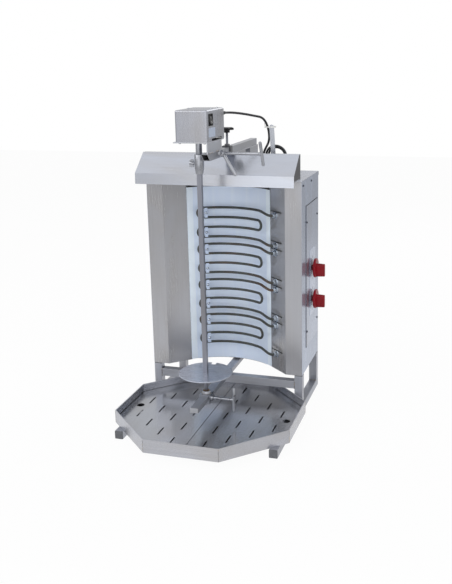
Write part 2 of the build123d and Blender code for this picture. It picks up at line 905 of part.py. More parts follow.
# Lower arm on the cross rails
with BuildPart() as lower_arm:
    with BuildSketch(Plane.XZ.offset(-frame_rear)):
        with Locations((0, lower_arm_bottom + lower_arm_height / 2)):
            Rectangle(lower_arm_width, lower_arm_height)
            Rectangle(
                lower_arm_width - 2 * tube_wall, lower_arm_height - 2 * tube_wall, mode=Mode.SUBTRACT
            )
    extrude(amount=frame_rear - lower_arm_front)
save(lower_arm.part, "lower_arm")

# Carriage that slides on the lower arm, with the cup for the spit's foot
with BuildPart() as carriage:
    with BuildSketch(Plane.XZ.offset(-(spit_y + carriage_length / 2))):
        with Locations((0, (carriage_top + carriage_bottom) / 2)):
            Rectangle(2 * carriage_half_width, carriage_top - carriage_bottom)
        with Locations((0, (lower_arm_top + lower_arm_bottom) / 2)):
            Rectangle(
                lower_arm_width + 2 * slide_gap, lower_arm_height + 2 * slide_gap, mode=Mode.SUBTRACT
            )
    extrude(amount=carriage_length)
    with BuildSketch(Plane.XY.offset(carriage_top)):
        with Locations((0, spit_y)):
            Circle(cup_diameter / 2)
            Circle(bush_diameter / 2, mode=Mode.SUBTRACT)
    extrude(amount=cup_height)
    with BuildSketch(Plane.XY.offset(carriage_bottom)):
        with Locations((0, spit_y)):
            Circle(cup_diameter / 2)
    extrude(amount=-cup_drop)
    with BuildSketch(Plane.YZ.offset(carriage_half_width)):
        with Locations((spit_y, lower_handle_z)):
            Circle(lower_boss / 2)
    extrude(amount=lower_boss_length)
    with BuildSketch(Plane.YZ.offset(lower_arm_width / 2 + slide_gap)):
        with Locations((spit_y, lower_handle_z)):
            Circle(lower_rod / 2 + running_gap)
    extrude(amount=carriage_wall + lower_boss_length, mode=Mode.SUBTRACT)
save(carriage.part, "lower_carriage")

with BuildPart() as bush:
    with BuildSketch(Plane.XY.offset(carriage_top)):
        with Locations((0, spit_y)):
            Circle(bush_diameter / 2)
            Circle(skewer_pin / 2 + running_gap, mode=Mode.SUBTRACT)
    extrude(amount=cup_height)
save(bush.part, "pivot_bush")


# A T-handle: a round rod with a cross bar on its end
def make_t_handle(start_x, end_x, y, z, rod_diameter, bar_length, tilt, label):
    with BuildPart() as handle:
        with BuildSketch(Plane.YZ.offset(start_x)):
            with Locations((y, z)):
                Circle(rod_diameter / 2)
        extrude(amount=end_x - start_x)
        way = Vector(0, -sin(radians(tilt)), cos(radians(tilt)))
        foot = Vector(end_x, y, z) - way * (bar_length / 2)
        with BuildSketch(Plane(foot, x_dir=(1, 0, 0), z_dir=way)):
            Circle(rod_diameter / 2)
        extrude(amount=bar_length)
    save(handle.part, label)


make_t_handle(
    lower_arm_width / 2 + 2 * slide_gap, lower_handle_x, spit_y, lower_handle_z,
    lower_rod, lower_bar, 0, "lower_t_handle",
)

# Skewer: square bar with a round foot
with BuildPart() as skewer:
    with BuildSketch(Plane.XY.offset(skewer_square_from)):
        with Locations((0, spit_y)):
            Rectangle(skewer_side, skewer_side)
    extrude(amount=chuck_top - shaft_spigot_length - 1 - skewer_square_from)
    chamfer(skewer.faces().sort_by(Axis.Z)[-1].edges(), length=1.5)
    with BuildSketch(Plane.XY.offset(skewer_bottom)):
        with Locations((0, spit_y)):
            Circle(skewer_pin / 2)
    extrude(amount=skewer_square_from - skewer_bottom)
save(skewer.part, "skewer")

with BuildPart() as disc:
    with BuildSketch(Plane.XY.offset(disc_z)):
        with Locations((0, spit_y)):
            Circle(disc_diameter / 2)
            Rectangle(skewer_side, skewer_side, mode=Mode.SUBTRACT)
        with Locations((0, spit_y + disc_diameter / 2)):
            Rectangle(disc_notch, 2 * disc_notch, mode=Mode.SUBTRACT)
    extrude(amount=disc_sheet)
    with BuildSketch(Plane.XY.offset(disc_z)):
        with Locations((0, spit_y)):
            Circle(disc_hub / 2)
            Rectangle(skewer_side, skewer_side, mode=Mode.SUBTRACT)
    extrude(amount=-(disc_z - skewer_square_from))
save(disc.part, "meat_disc")

# Chuck, its clamping screw and the drive shaft
with BuildPart() as chuck:
    with BuildSketch(Plane.XY.offset(chuck_shoulder)):
        with Locations((0, spit_y)):
            Circle(chuck_diameter / 2)
    extrude(amount=chuck_top - chuck_shoulder)
    with BuildSketch(Plane.XY.offset(chuck_bottom)):
        with Locations((0, spit_y)):
            Circle(chuck_tip / 2)
    with BuildSketch(Plane.XY.offset(chuck_shoulder)):
        with Locations((0, spit_y)):
            Circle(chuck_diameter / 2)
    loft()
    with BuildSketch(Plane.XY.offset(chuck_bottom)):
        with Locations((0, spit_y)):
            Rectangle(skewer_side, skewer_side)
    extrude(amount=chuck_top - shaft_spigot_length - chuck_bottom, mode=Mode.SUBTRACT)
    with BuildSketch(Plane.XY.offset(chuck_top - shaft_spigot_length)):
        with Locations((0, spit_y)):
            Circle(shaft_spigot / 2)
    extrude(amount=shaft_spigot_length, mode=Mode.SUBTRACT)
    with BuildSketch(Plane.YZ.offset(-chuck_diameter)):
        with Locations((spit_y, chuck_screw_z)):
            Circle(chuck_screw_shank / 2 + running_gap)
    extrude(amount=chuck_diameter, mode=Mode.SUBTRACT)
save(chuck.part, "chuck")

with BuildPart() as chuck_screw:
    with BuildSketch(Plane.YZ.offset(-skewer_side / 2 - slide_gap)):
        with Locations((spit_y, chuck_screw_z)):
            Circle(chuck_screw_shank / 2)
    extrude(amount=-(chuck_diameter / 2 + 3.5 - skewer_side / 2 - slide_gap))
    with BuildSketch(Plane.YZ.offset(-chuck_diameter / 2 - 3.5)):
        with Locations((spit_y, chuck_screw_z)):
            SlotOverall(wing_height, wing_thickness, rotation=90)
            Circle(chuck_screw_shank / 2 + 1)
    extrude(amount=-wing_width)
save(chuck_screw.part, "chuck_screw")

shaft_top = bracket_top + shaft_rise
with BuildPart() as drive_shaft:
    with BuildSketch(Plane.XY.offset(chuck_top)):
        with Locations((0, spit_y)):
            Circle(shaft / 2)
    extrude(amount=shaft_top - chuck_top)
    with BuildSketch(Plane.XY.offset(chuck_top)):
        with Locations((0, spit_y)):
            Circle(shaft_spigot / 2)
    extrude(amount=-shaft_spigot_length)
save(drive_shaft.part, "drive_shaft")

# Upper arm: square tube with a mitred, open front and the boss for the handle
with BuildPart() as upper_arm:
    with BuildSketch(Plane.XZ.offset(-arm_rear)):
        with Locations((arm_x, arm_bottom + arm / 2)):
            Rectangle(arm, arm)
            Rectangle(arm - 2 * arm_wall, arm - 2 * arm_wall, mode=Mode.SUBTRACT)
    extrude(amount=arm_rear - arm_front)
    with BuildSketch(Plane.YZ.offset(arm_left)):
        draw_outline(
            [(arm_front - 1, arm_top), (arm_front, arm_top), (arm_front + arm_mitre, arm_bottom),
             (arm_front - 1, arm_bottom)]
        )
    extrude(amount=arm, mode=Mode.SUBTRACT)
    with BuildSketch(Plane.YZ.offset(arm_right)):
        with Locations((handle_y, handle_z)):
            Circle(boss_diameter / 2)
    extrude(amount=boss_length)
    with BuildSketch(Plane.YZ.offset(arm_right - arm_wall)):
        with Locations((handle_y, handle_z)):
            Circle(handle_rod / 2 + running_gap)
    extrude(amount=arm_wall + boss_length, mode=Mode.SUBTRACT)
save(upper_arm.part, "upper_arm")

make_t_handle(
    arm_right - arm_wall, handle_end_x, handle_y, handle_z,
    handle_rod, handle_bar, handle_tilt, "upper_t_handle",
)

# Lock lever: a collar on the handle's rod with a slanted arm
lever_x = arm_right + boss_length + slide_gap
lever_middle = lever_x + lever_collar_length / 2
with BuildPart() as lock_lever:
    with BuildSketch(Plane.YZ.offset(lever_x)):
        with Locations((handle_y, handle_z)):
            Circle(lever_collar / 2)
    extrude(amount=lever_collar_length)
    root_point = Vector(lever_middle, handle_y, handle_z)
    tip_point = Vector(lever_reach_x, handle_y, lever_reach_z)
    with BuildSketch(Plane(root_point, x_dir=(0, 1, 0), z_dir=tip_point - root_point)):
        Circle(lever_rod / 2)
    extrude(amount=(tip_point - root_point).length)
    fillet(lock_lever.faces().sort_by(Axis.Z)[0].edges(), radius=2)
    with BuildSketch(Plane.YZ.offset(lever_x)):
        with Locations((handle_y, handle_z)):
            Circle(handle_rod / 2 + running_gap)
    extrude(amount=4 * lever_collar_length, mode=Mode.SUBTRACT)
save(lock_lever.part, "lock_lever")

# Cradle on the roof: a plate on two box pedestals
with BuildPart() as cradle:
    with BuildSketch(Plane.XY.offset(cradle_top - cradle_sheet)):
        with Locations((arm_x, (cradle_front + cradle_rear) / 2)):
            Rectangle(cradle_width, cradle_rear - cradle_front)
    extrude(amount=cradle_sheet)
    with BuildSketch(Plane.XY.offset(cabinet_top)):
        for front, length in zip(pedestal_fronts, pedestal_lengths):
            with Locations((arm_x, front + length / 2)):
                Rectangle(cradle_width, length)
                Rectangle(
                    cradle_width - 2 * pedestal_wall, length - 2 * pedestal_wall, mode=Mode.SUBTRACT
                )
    extrude(amount=cradle_top - cradle_sheet - cabinet_top)
save(cradle.part, "arm_cradle")

# Clamp strap over the arm and the star screw that presses on it
with BuildPart() as strap:
    with BuildSketch(Plane.XZ.offset(-(cradle_front + strap_length))):
        outer = arm + 2 * slide_gap + 2 * strap_sheet
        with Locations((arm_x, cradle_top)):
            Rectangle(outer, strap_top - cradle_top, align=(Align.CENTER, Align.MIN))
            Rectangle(
                outer - 2 * strap_sheet, strap_top - strap_sheet - cradle_top,
                align=(Align.CENTER, Align.MIN), mode=Mode.SUBTRACT,
            )
    extrude(amount=strap_length)
    with BuildSketch(Plane.XY.offset(strap_top)):
        with Locations((arm_x, clamp_y)):
            RegularPolygon(clamp_nut / 2, 6, major_radius=False)
    extrude(amount=clamp_nut_height)
    with BuildSketch(Plane.XY.offset(strap_top - 2 * strap_sheet)):
        with Locations((arm_x, clamp_y)):
            Circle(clamp_shank / 2 + running_gap)
    extrude(amount=4 * strap_sheet, mode=Mode.SUBTRACT)
save(strap.part, "clamp_strap")

with BuildPart() as clamp_screw:
    with BuildSketch(Plane.XY.offset(clamp_hub_z)):
        with Locations((arm_x, clamp_y)):
            Circle(clamp_hub / 2)
    extrude(amount=clamp_hub_height)
    with BuildSketch(Plane.XY.offset(clamp_hub_z + clamp_hub_height)):
        with Locations((arm_x, clamp_y)):
            Circle(clamp_knob / 2 - 3)
            with PolarLocations(clamp_knob / 2 - 5, clamp_lobes):
                Circle(5)
    extrude(amount=clamp_knob_height)
    fillet(clamp_screw.faces().sort_by(Axis.Z)[-1].edges(), radius=1.5)
    with BuildSketch(Plane.XY.offset(arm_top + slide_gap)):
        with Locations((arm_x, clamp_y)):
            Circle(clamp_shank / 2)
    extrude(amount=clamp_hub_z - arm_top - slide_gap)
save(clamp_screw.part, "clamp_screw")

# Motor bracket: base plate with a web welded on the arm
with BuildPart() as bracket:
    with BuildSketch(Plane.XY.offset(bracket_top - bracket_sheet)):
        with Locations((bracket_left, bracket_front)):
            Rectangle(
                cover_right - bracket_left, bracket_rear - bracket_front, align=(Align.MIN, Align.MIN)
            )
        with Locations((0, spit_y)):
            Circle(shaft / 2 + 2 * slide_gap, mode=Mode.SUBTRACT)
    extrude(amount=bracket_sheet)
    with BuildSketch(Plane.YZ.offset(cover_right - bracket_sheet)):
        with Locations((bracket_front, arm_top)):
            Rectangle(
                web_rear - bracket_front, bracket_top - arm_top, align=(Align.MIN, Align.MIN)
            )
    extrude(amount=bracket_sheet)
save(bracket.part, "motor_bracket")

# Motor cover: a deep-drawn box, open below, cut for the switch and the gland
cover_screws_at = [
    (14 - cover_right, cover_front + cover_length / 2),
    (cover_right - 13, cover_rear - 24),
    (cover_right - 13, cover_front + cover_length / 2 - 4),
]
base_bolts_at = [(11 - cover_right, cover_front + 5), (cover_right - 11, cover_front + 5)]
with BuildPart() as cover:
    with BuildSketch(Plane.XY.offset(bracket_top)):
        with Locations((0, cover_front + cover_length / 2)):
            RectangleRounded(cover_width, cover_length, cover_radius)
    extrude(amount=cover_height)
    fillet(cover.faces().sort_by(Axis.Z)[-1].edges(), radius=cover_radius - 1)
    with BuildSketch(Plane.XY.offset(bracket_top)):
        with Locations((0, cover_front + cover_length / 2)):
            RectangleRounded(
                cover_width - 2 * cover_sheet, cover_length - 2 * cover_sheet, cover_radius - cover_sheet
            )
    extrude(amount=cover_height - cover_sheet, mode=Mode.SUBTRACT)
    with BuildSketch(Plane.YZ.offset(cover_right - 2 * cover_sheet)):
        with Locations((switch_y, switch_z)):
            Rectangle(housing_width, housing_height)
        with Locations((cover_gap_front, bracket_top)):
            Rectangle(cover_gap_length, cover_gap_height, align=(Align.MIN, Align.MIN))
    extrude(amount=3 * cover_sheet, mode=Mode.SUBTRACT)
    with BuildSketch(Plane.XY.offset(cover_top)):
        with Locations(*cover_screws_at):
            Circle(screw_shank / 2)
    extrude(amount=-2 * cover_sheet, mode=Mode.SUBTRACT)
save(cover.part, "motor_cover")

with BuildPart() as cover_screws:
    with BuildSketch(Plane.XY.offset(cover_top)):
        with Locations(*cover_screws_at):
            Circle(screw_head / 2)
    extrude(amount=screw_head_height)
    with BuildSketch(Plane.XY.offset(cover_top)):
        with Locations(*cover_screws_at):
            Circle(screw_shank / 2)
    extrude(amount=-screw_length)
    with BuildSketch(Plane.XY.offset(bracket_top - bracket_sheet)):
        with Locations(*base_bolts_at):
            RegularPolygon(screw_head / 2, 6)
    extrude(amount=-screw_head_height)
save(cover_screws.part, "cover_screws")

# Gear motor: gearbox with the motor lying behind it
with BuildPart() as gear_motor:
    with BuildSketch(Plane.XY.offset(bracket_top)):
        with Locations((motor_x, spit_y)):
            RectangleRounded(gearbox[0], gearbox[1], 4)
    extrude(amount=gearbox[2])
    with BuildSketch(Plane.XZ.offset(-(spit_y + gearbox[1] / 2 + motor_length))):
        with Locations((motor_x, bracket_top + motor_diameter / 2 + slide_gap)):
            Circle(motor_diameter / 2)
    extrude(amount=motor_length)
    with BuildSketch(Plane.XY.offset(bracket_top)):
        with Locations((0, spit_y)):
            Circle(shaft / 2 + running_gap)
    extrude(amount=shaft_top + 1 - bracket_top, mode=Mode.SUBTRACT)
save(gear_motor.part, "gear_motor")

# Rocker switch: housing with a bezel and the rocker on its pins
pivot_x = cover_right - rocker_pivot_depth
with BuildPart() as switch_housing:
    with BuildSketch(Plane.YZ.offset(cover_right)):
        with Locations((switch_y, switch_z)):
            Rectangle(bezel_width, bezel_height)
    extrude(amount=bezel_depth)
    with BuildSketch(Plane.YZ.offset(cover_right)):
        with Locations((switch_y, switch_z)):
            Rectangle(housing_width, housing_height)
    extrude(amount=-housing_depth)
    with BuildSketch(Plane.YZ.offset(cover_right + bezel_depth)):
        with Locations((switch_y, switch_z)):
            Rectangle(rocker_width + 2 * slide_gap, housing_height - 1.6)
    extrude(amount=-(bezel_depth + housing_depth - 3), mode=Mode.SUBTRACT)
    with BuildSketch(Plane.XZ.offset(-(switch_y + rocker_width / 2 + 1.3))):
        with Locations((pivot_x, switch_z)):
            Circle(rocker_pin / 2 + running_gap)
    extrude(amount=rocker_width + 2.6, mode=Mode.SUBTRACT)
save(switch_housing.part, "switch_housing")

with BuildPart() as rocker:
    with BuildSketch(Plane.XZ.offset(-(switch_y + rocker_width / 2))):
        draw_outline(
            [(pivot_x + 4, switch_z + rocker_reach), (pivot_x + 5.2, switch_z),
             (pivot_x + 8, switch_z - rocker_reach), (pivot_x - 2, switch_z - 8),
             (pivot_x - 2, switch_z + 8)]
        )
    extrude(amount=rocker_width)
    with BuildSketch(Plane.XZ.offset(-(switch_y + rocker_width / 2 + 1.2))):
        with Locations((pivot_x, switch_z)):
            Circle(rocker_pin / 2)
    extrude(amount=rocker_width + 2.4)
save(rocker.part, "switch_rocker")

# Motor lead: gland on the cover, free stretch, coil, tail and roof gland
with BuildPart() as lead_gland:
    with BuildSketch(Plane.XZ.offset(-cover_rear)):
        with Locations((gland_x, gland_z)):
            Circle(gland_diameter / 2)
    extrude(amount=-gland_length)
    chamfer(lead_gland.faces().sort_by(Axis.Y)[-1].edges(), length=1.5)
save(lead_gland.part, "lead_gland")

with BuildPart() as roof_gland:
    with BuildSketch(Plane.XY.offset(cabinet_top)):
        with Locations((roof_gland_x, roof_gland_y)):
            RegularPolygon(lead / 2 + 5, 6, major_radius=False)
    extrude(amount=roof_gland_top - cabinet_top - 4)
    with BuildSketch(Plane.XY.offset(cabinet_top)):
        with Locations((roof_gland_x, roof_gland_y)):
            Circle(lead / 2 + 2)
    extrude(amount=-sheet)
    with BuildSketch(Plane.XY.offset(roof_gland_top - 4)):
        with Locations((roof_gland_x, roof_gland_y)):
            Circle(lead / 2 + 3)
    extrude(amount=4)
save(roof_gland.part, "roof_gland")


def coil_point(turn):
    """Centre of the coiled lead after a number of turns, spiralling in and to the rear."""
    angle = radians(coil_start + 360 * turn)
    radius = coil_outer + (coil_inner - coil_outer) * turn / coil_turns
    return Vector(coil_x + radius * cos(angle), coil_y + coil_pitch * turn, coil_z + radius * sin(angle))


def coil_way(turn):
    """Direction of the coiled lead after a number of turns."""
    angle = radians(coil_start + 360 * turn)
    radius = coil_outer + (coil_inner - coil_outer) * turn / coil_turns
    shrink = (coil_inner - coil_outer) / coil_turns / (2 * pi)
    return Vector(
        shrink * cos(angle) - radius * sin(angle),
        coil_pitch / (2 * pi),
        shrink * sin(angle) + radius * cos(angle),
    ).normalized()


def biarc_joint(start, start_way, end, end_way):
    """Point where two arcs meet that leave start and reach end along the given directions."""
    chord = end - start
    both = start_way + end_way
    spread = 2 * (1 - start_way.dot(end_way))
    reach = (sqrt(chord.dot(both) ** 2 + spread * chord.dot(chord)) - chord.dot(both)) / spread
    return (start + end + (start_way - end_way) * reach) * 0.5


quarter_turns = [coil_turns * i / coil_steps for i in range(coil_steps + 1)]
coil_first = coil_point(0) - coil_way(0) * coil_end_run
coil_last = coil_point(coil_turns) + coil_way(coil_turns) * coil_end_run
with BuildPart() as coil:
    with BuildLine() as coil_path:
        Line(coil_first, coil_point(0))
        for here, there in zip(quarter_turns, quarter_turns[1:]):
            joint = biarc_joint(coil_point(here), coil_way(here), coil_point(there), coil_way(there))
            TangentArc(coil_point(here), joint, tangent=coil_way(here))
            TangentArc(coil_point(there), joint, tangent=coil_way(there) * -1)
        Line(coil_point(coil_turns), coil_last)
    with BuildSketch(Plane(coil_first, z_dir=coil_way(0))):
        Circle(lead / 2)
    sweep(path=coil_path.wire())
save(coil.part, "lead_coil")

samples = [coil_path.wire().position_at(i / 400) for i in range(401)]
least_gap = min(
    (a - b).length - lead
    for i, a in enumerate(samples)
    for j, b in enumerate(samples)
    if j - i > 60
)
print(f"coil: least gap to itself {least_gap:.2f} mm")


def corner_radii(route):
    """Radius of each corner of a route, as large as its two runs allow."""
    radii = []
    for before, corner, after in zip(route, route[1:], route[2:]):
        turn = radians((corner - before).get_angle(after - corner))
        run = min((corner - before).length, (after - corner).length)
        radii.append(0.45 * run / tan(turn / 2))
    return radii


def make_lead(route, label):
    route = [Vector(*point) for point in route]
    radii = corner_radii(route)
    with BuildPart() as cord:
        with BuildLine() as path:
            FilletPolyline(*route, radius=radii)
        with BuildSketch(Plane(route[0], z_dir=route[1] - route[0])):
            Circle(lead / 2)
        sweep(path=path.wire())
    expected = path.wire().length * pi * lead**2 / 4
    print(label, "radii", [round(radius) for radius in radii], "volume", round(cord.part.volume / expected, 4))
    save(cord.part, label)


motor_lead_route = [
    (gland_x, cover_rear + gland_length, gland_z),
    (gland_x, -84, gland_z),
    (56, -54, gland_z - 2),
    (82, -24, gland_z - 8),
    (101, 5, gland_z - 15),
    (120, 38, gland_z - 22),
    (131, 55, gland_z - 53),
    tuple(coil_first - coil_way(0) * 28),
    tuple(coil_first),
]
make_lead(motor_lead_route, "motor_lead")
tail_route = [
    tuple(coil_last),
    tuple(coil_last + coil_way(coil_turns) * 13),
    (roof_gland_x, roof_gland_y, roof_gland_top + 14),
    (roof_gland_x, roof_gland_y, roof_gland_top),
]
make_lead(tail_route, "lead_tail")

# Cable post on the roof with a rounded top, and the tie that holds the lead to it
with BuildPart() as post:
    with BuildSketch(Plane.XZ.offset(-post_y)):
        with BuildLine():
            Polyline(
                (post_x - post_width / 2 - post_lean, post_top - post_width / 2),
                (post_x - post_width / 2, cabinet_top),
                (post_x + post_width / 2, cabinet_top),
                (post_x + post_width / 2 - post_lean, post_top - post_width / 2),
            )
            ThreePointArc(
                (post_x + post_width / 2 - post_lean, post_top - post_width / 2),
                (post_x - post_lean, post_top),
                (post_x - post_width / 2 - post_lean, post_top - post_width / 2),
            )
        make_face()
    extrude(amount=post_sheet)
    with BuildSketch(Plane.XY.offset(cabinet_top)):
        with Locations((post_x, post_y - post_sheet)):
            Rectangle(post_width, post_foot, align=(Align.CENTER, Align.MAX))
    extrude(amount=post_sheet)
save(post.part, "cable_post")

with BuildPart() as cable_tie:
    with BuildSketch(Plane.XY.offset(tie_z)):
        with Locations((tie_x, tie_y)):
            Ellipse(tie_length / 2 + tie_thickness, tie_depth / 2 + tie_thickness)
            Ellipse(tie_length / 2, tie_depth / 2, mode=Mode.SUBTRACT)
    extrude(amount=tie_width)
    with BuildSketch(Plane.XY.offset(tie_z - 1)):
        with Locations((tie_x - tie_length / 2 - tie_thickness, tie_y)):
            Rectangle(4, 5)
    extrude(amount=tie_width + 2)
    with BuildSketch(Plane.XY.offset(tie_z)):
        with Locations((tie_x - tie_length / 2 - 2 * tie_thickness, tie_y)):
            Rectangle(1, tie_width)
    extrude(amount=tie_tail)
save(cable_tie.part, "cable_tie")
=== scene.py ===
"""Studio scene of an electric doner kebab grill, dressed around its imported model.

Lengths are metres in the model's own frame: X runs to the right, Y to the rear
and Z up, and the origin lies on the ground below the middle of the front legs.
"""

from dataclasses import dataclass
from enum import Enum
import logging
from math import asin, atan2, cos, pi, radians, sin, tan, tau
from typing import Iterable, Sequence

import bmesh
import bpy
from mathutils import Matrix, Vector


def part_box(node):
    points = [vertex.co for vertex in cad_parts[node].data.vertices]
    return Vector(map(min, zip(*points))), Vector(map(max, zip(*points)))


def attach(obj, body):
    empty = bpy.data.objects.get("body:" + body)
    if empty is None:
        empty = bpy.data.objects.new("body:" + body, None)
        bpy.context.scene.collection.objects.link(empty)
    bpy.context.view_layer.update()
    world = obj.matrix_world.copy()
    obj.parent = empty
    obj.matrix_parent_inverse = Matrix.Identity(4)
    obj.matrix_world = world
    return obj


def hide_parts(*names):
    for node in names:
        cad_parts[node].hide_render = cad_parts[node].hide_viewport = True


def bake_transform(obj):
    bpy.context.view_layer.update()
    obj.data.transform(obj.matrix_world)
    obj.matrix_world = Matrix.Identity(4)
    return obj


LOG = logging.getLogger("kebab_grill")
PHOTO_WIDTH = 452
PHOTO_HEIGHT = 584
MM = 0.001
MICRON = 0.000001

# Faces that meet at more than these angles show a hard edge, or get an eased one.
SMOOTH_ANGLE = radians(38)
BEVEL_ANGLE = radians(40)

# Points closer than these are one point: across a solid's seams, and round a bore.
SEAM_GAP = 1e-6
BORE_GAP = 1e-7

# A face is end on to the grain where its facing reaches this far along it.
END_ON = 0.75

# Sockets of the mix node that carry colours, which share their names with others.
MIX_COLOURS = (6, 7)
MIX_RESULT = 2

# What is left of red, green and blue in the broad streaks along the grain, which stand for hand staining and
# for painted broad reflections.
STAIN_AND_REFLECTION_SHARES = (0.97, 0.955, 0.93)

# Step along a weld bead, faces round it, and a figure's height as a share of its type size.
BEAD_STEP = 1.2 * MM
BEAD_SIDES = 8
FIGURE_SHARE = 0.72

RIGHTWARD = Vector((1, 0, 0)).freeze()
REARWARD = Vector((0, 1, 0)).freeze()
UPWARD = Vector((0, 0, 1)).freeze()

Colour = tuple[float, float, float]
Place = tuple[float, float, float]
Socket = bpy.types.NodeSocket
Maker = bmesh.types.BMesh

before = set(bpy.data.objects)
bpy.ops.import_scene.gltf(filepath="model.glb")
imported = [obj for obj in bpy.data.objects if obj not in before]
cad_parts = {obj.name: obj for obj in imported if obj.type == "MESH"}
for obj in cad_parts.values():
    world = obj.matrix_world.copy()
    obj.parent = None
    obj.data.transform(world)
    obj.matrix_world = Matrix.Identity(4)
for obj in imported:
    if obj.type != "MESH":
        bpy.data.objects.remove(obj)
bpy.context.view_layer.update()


def linear(colour: Colour) -> tuple[float, float, float, float]:
    """Turn a display colour into the light that it stands for.

    Args:
        colour: Red, green and blue from 0 to 255.

    Returns:
        Linear red, green and blue, and an alpha of 1.
    """
    shares = [value / 255 for value in colour]
    light = [s / 12.92 if s <= 0.04045 else ((s + 0.055) / 1.055) ** 2.4 for s in shares]
    return (light[0], light[1], light[2], 1.0)


def shaded(colour: Colour, factor: float) -> Colour:
    """Scale a display colour.

    Args:
        colour: Red, green and blue from 0 to 255.
        factor: 1 keeps it, less darkens it.

    Returns:
        The scaled colour, held to 255.
    """
    red, green, blue = (min(255.0, value * factor) for value in colour)
    return (red, green, blue)


class Grain(Enum):
    """Direction in which a sheet was brushed or a bar was drawn."""

    ACROSS = "x"
    DEEP = "y"
    UPRIGHT = "z"

    def frequency(self, along: float, across: float) -> Vector:
        """Turn cycles per metre along and across the grain into those along X, Y and Z."""
        return Vector([along if axis == self.value else across for axis in "xyz"])

    @property
    def folded(self) -> "Grain":
        """Give the grain of the faces that the main grain would meet end on."""
        grains = list(Grain)
        return grains[(grains.index(self) + 1) % len(grains)]


class NodeGraph:
    """Nodes of a material or of the studio's air, under construction."""

    def __init__(self, owner: bpy.types.Material | bpy.types.World) -> None:
        """Start an empty graph.

        Args:
            owner: The material or the world that it belongs to.
        """
        owner.use_nodes = True
        self.tree = owner.node_tree
        self.tree.nodes.clear()

    def add(self, kind: str, **settings: object) -> bpy.types.Node:
        """Add one node.

        Args:
            kind: Blender's name of the node.
            **settings: Properties of the node.

        Returns:
            The node.
        """
        node = self.tree.nodes.new(kind)
        for name, value in settings.items():
            setattr(node, name, value)
        return node

    def join(self, source: Socket, target: Socket) -> None:
        """Link an output to an input."""
        self.tree.links.new(source, target)

    def combined(self, operation: str, first: Socket, second: Socket | float) -> Socket:
        """Combine two values.

        Args:
            operation: Blender's name of the operation.
            first: One value.
            second: The other one.

        Returns:
            The result.
        """
        node = self.add("ShaderNodeMath", operation=operation)
        self.join(first, node.inputs[0])
        if isinstance(second, Socket):
            self.join(second, node.inputs[1])
        else:
            node.inputs[1].default_value = second
        return node.outputs[0]

    def spread(
        self, source: Socket, low: float, high: float, start: float = 0.3, end: float = 0.7,
    ) -> Socket:
        """Map a pattern onto another range.

        Args:
            source: The pattern.
            low: Result at the start of the pattern's range.
            high: Result at its end.
            start: Where the pattern's range starts.
            end: Where it ends.

        Returns:
            The mapped value.
        """
        node = self.add("ShaderNodeMapRange")
        for name, value in (("From Min", start), ("From Max", end), ("To Min", low), ("To Max", high)):
            node.inputs[name].default_value = value
        self.join(source, node.inputs["Value"])
        return node.outputs["Result"]

    def layered(self, share: Socket, first: Socket, second: Socket) -> Socket:
        """Lay one shader over another.

        Args:
            share: Share of the second one.
            first: Shader at share 0.
            second: Shader at share 1.

        Returns:
            The mixed shader.
        """
        node = self.add("ShaderNodeMixShader")
        for source, target in zip((share, first, second), node.inputs):
            self.join(source, target)
        return node.outputs[0]


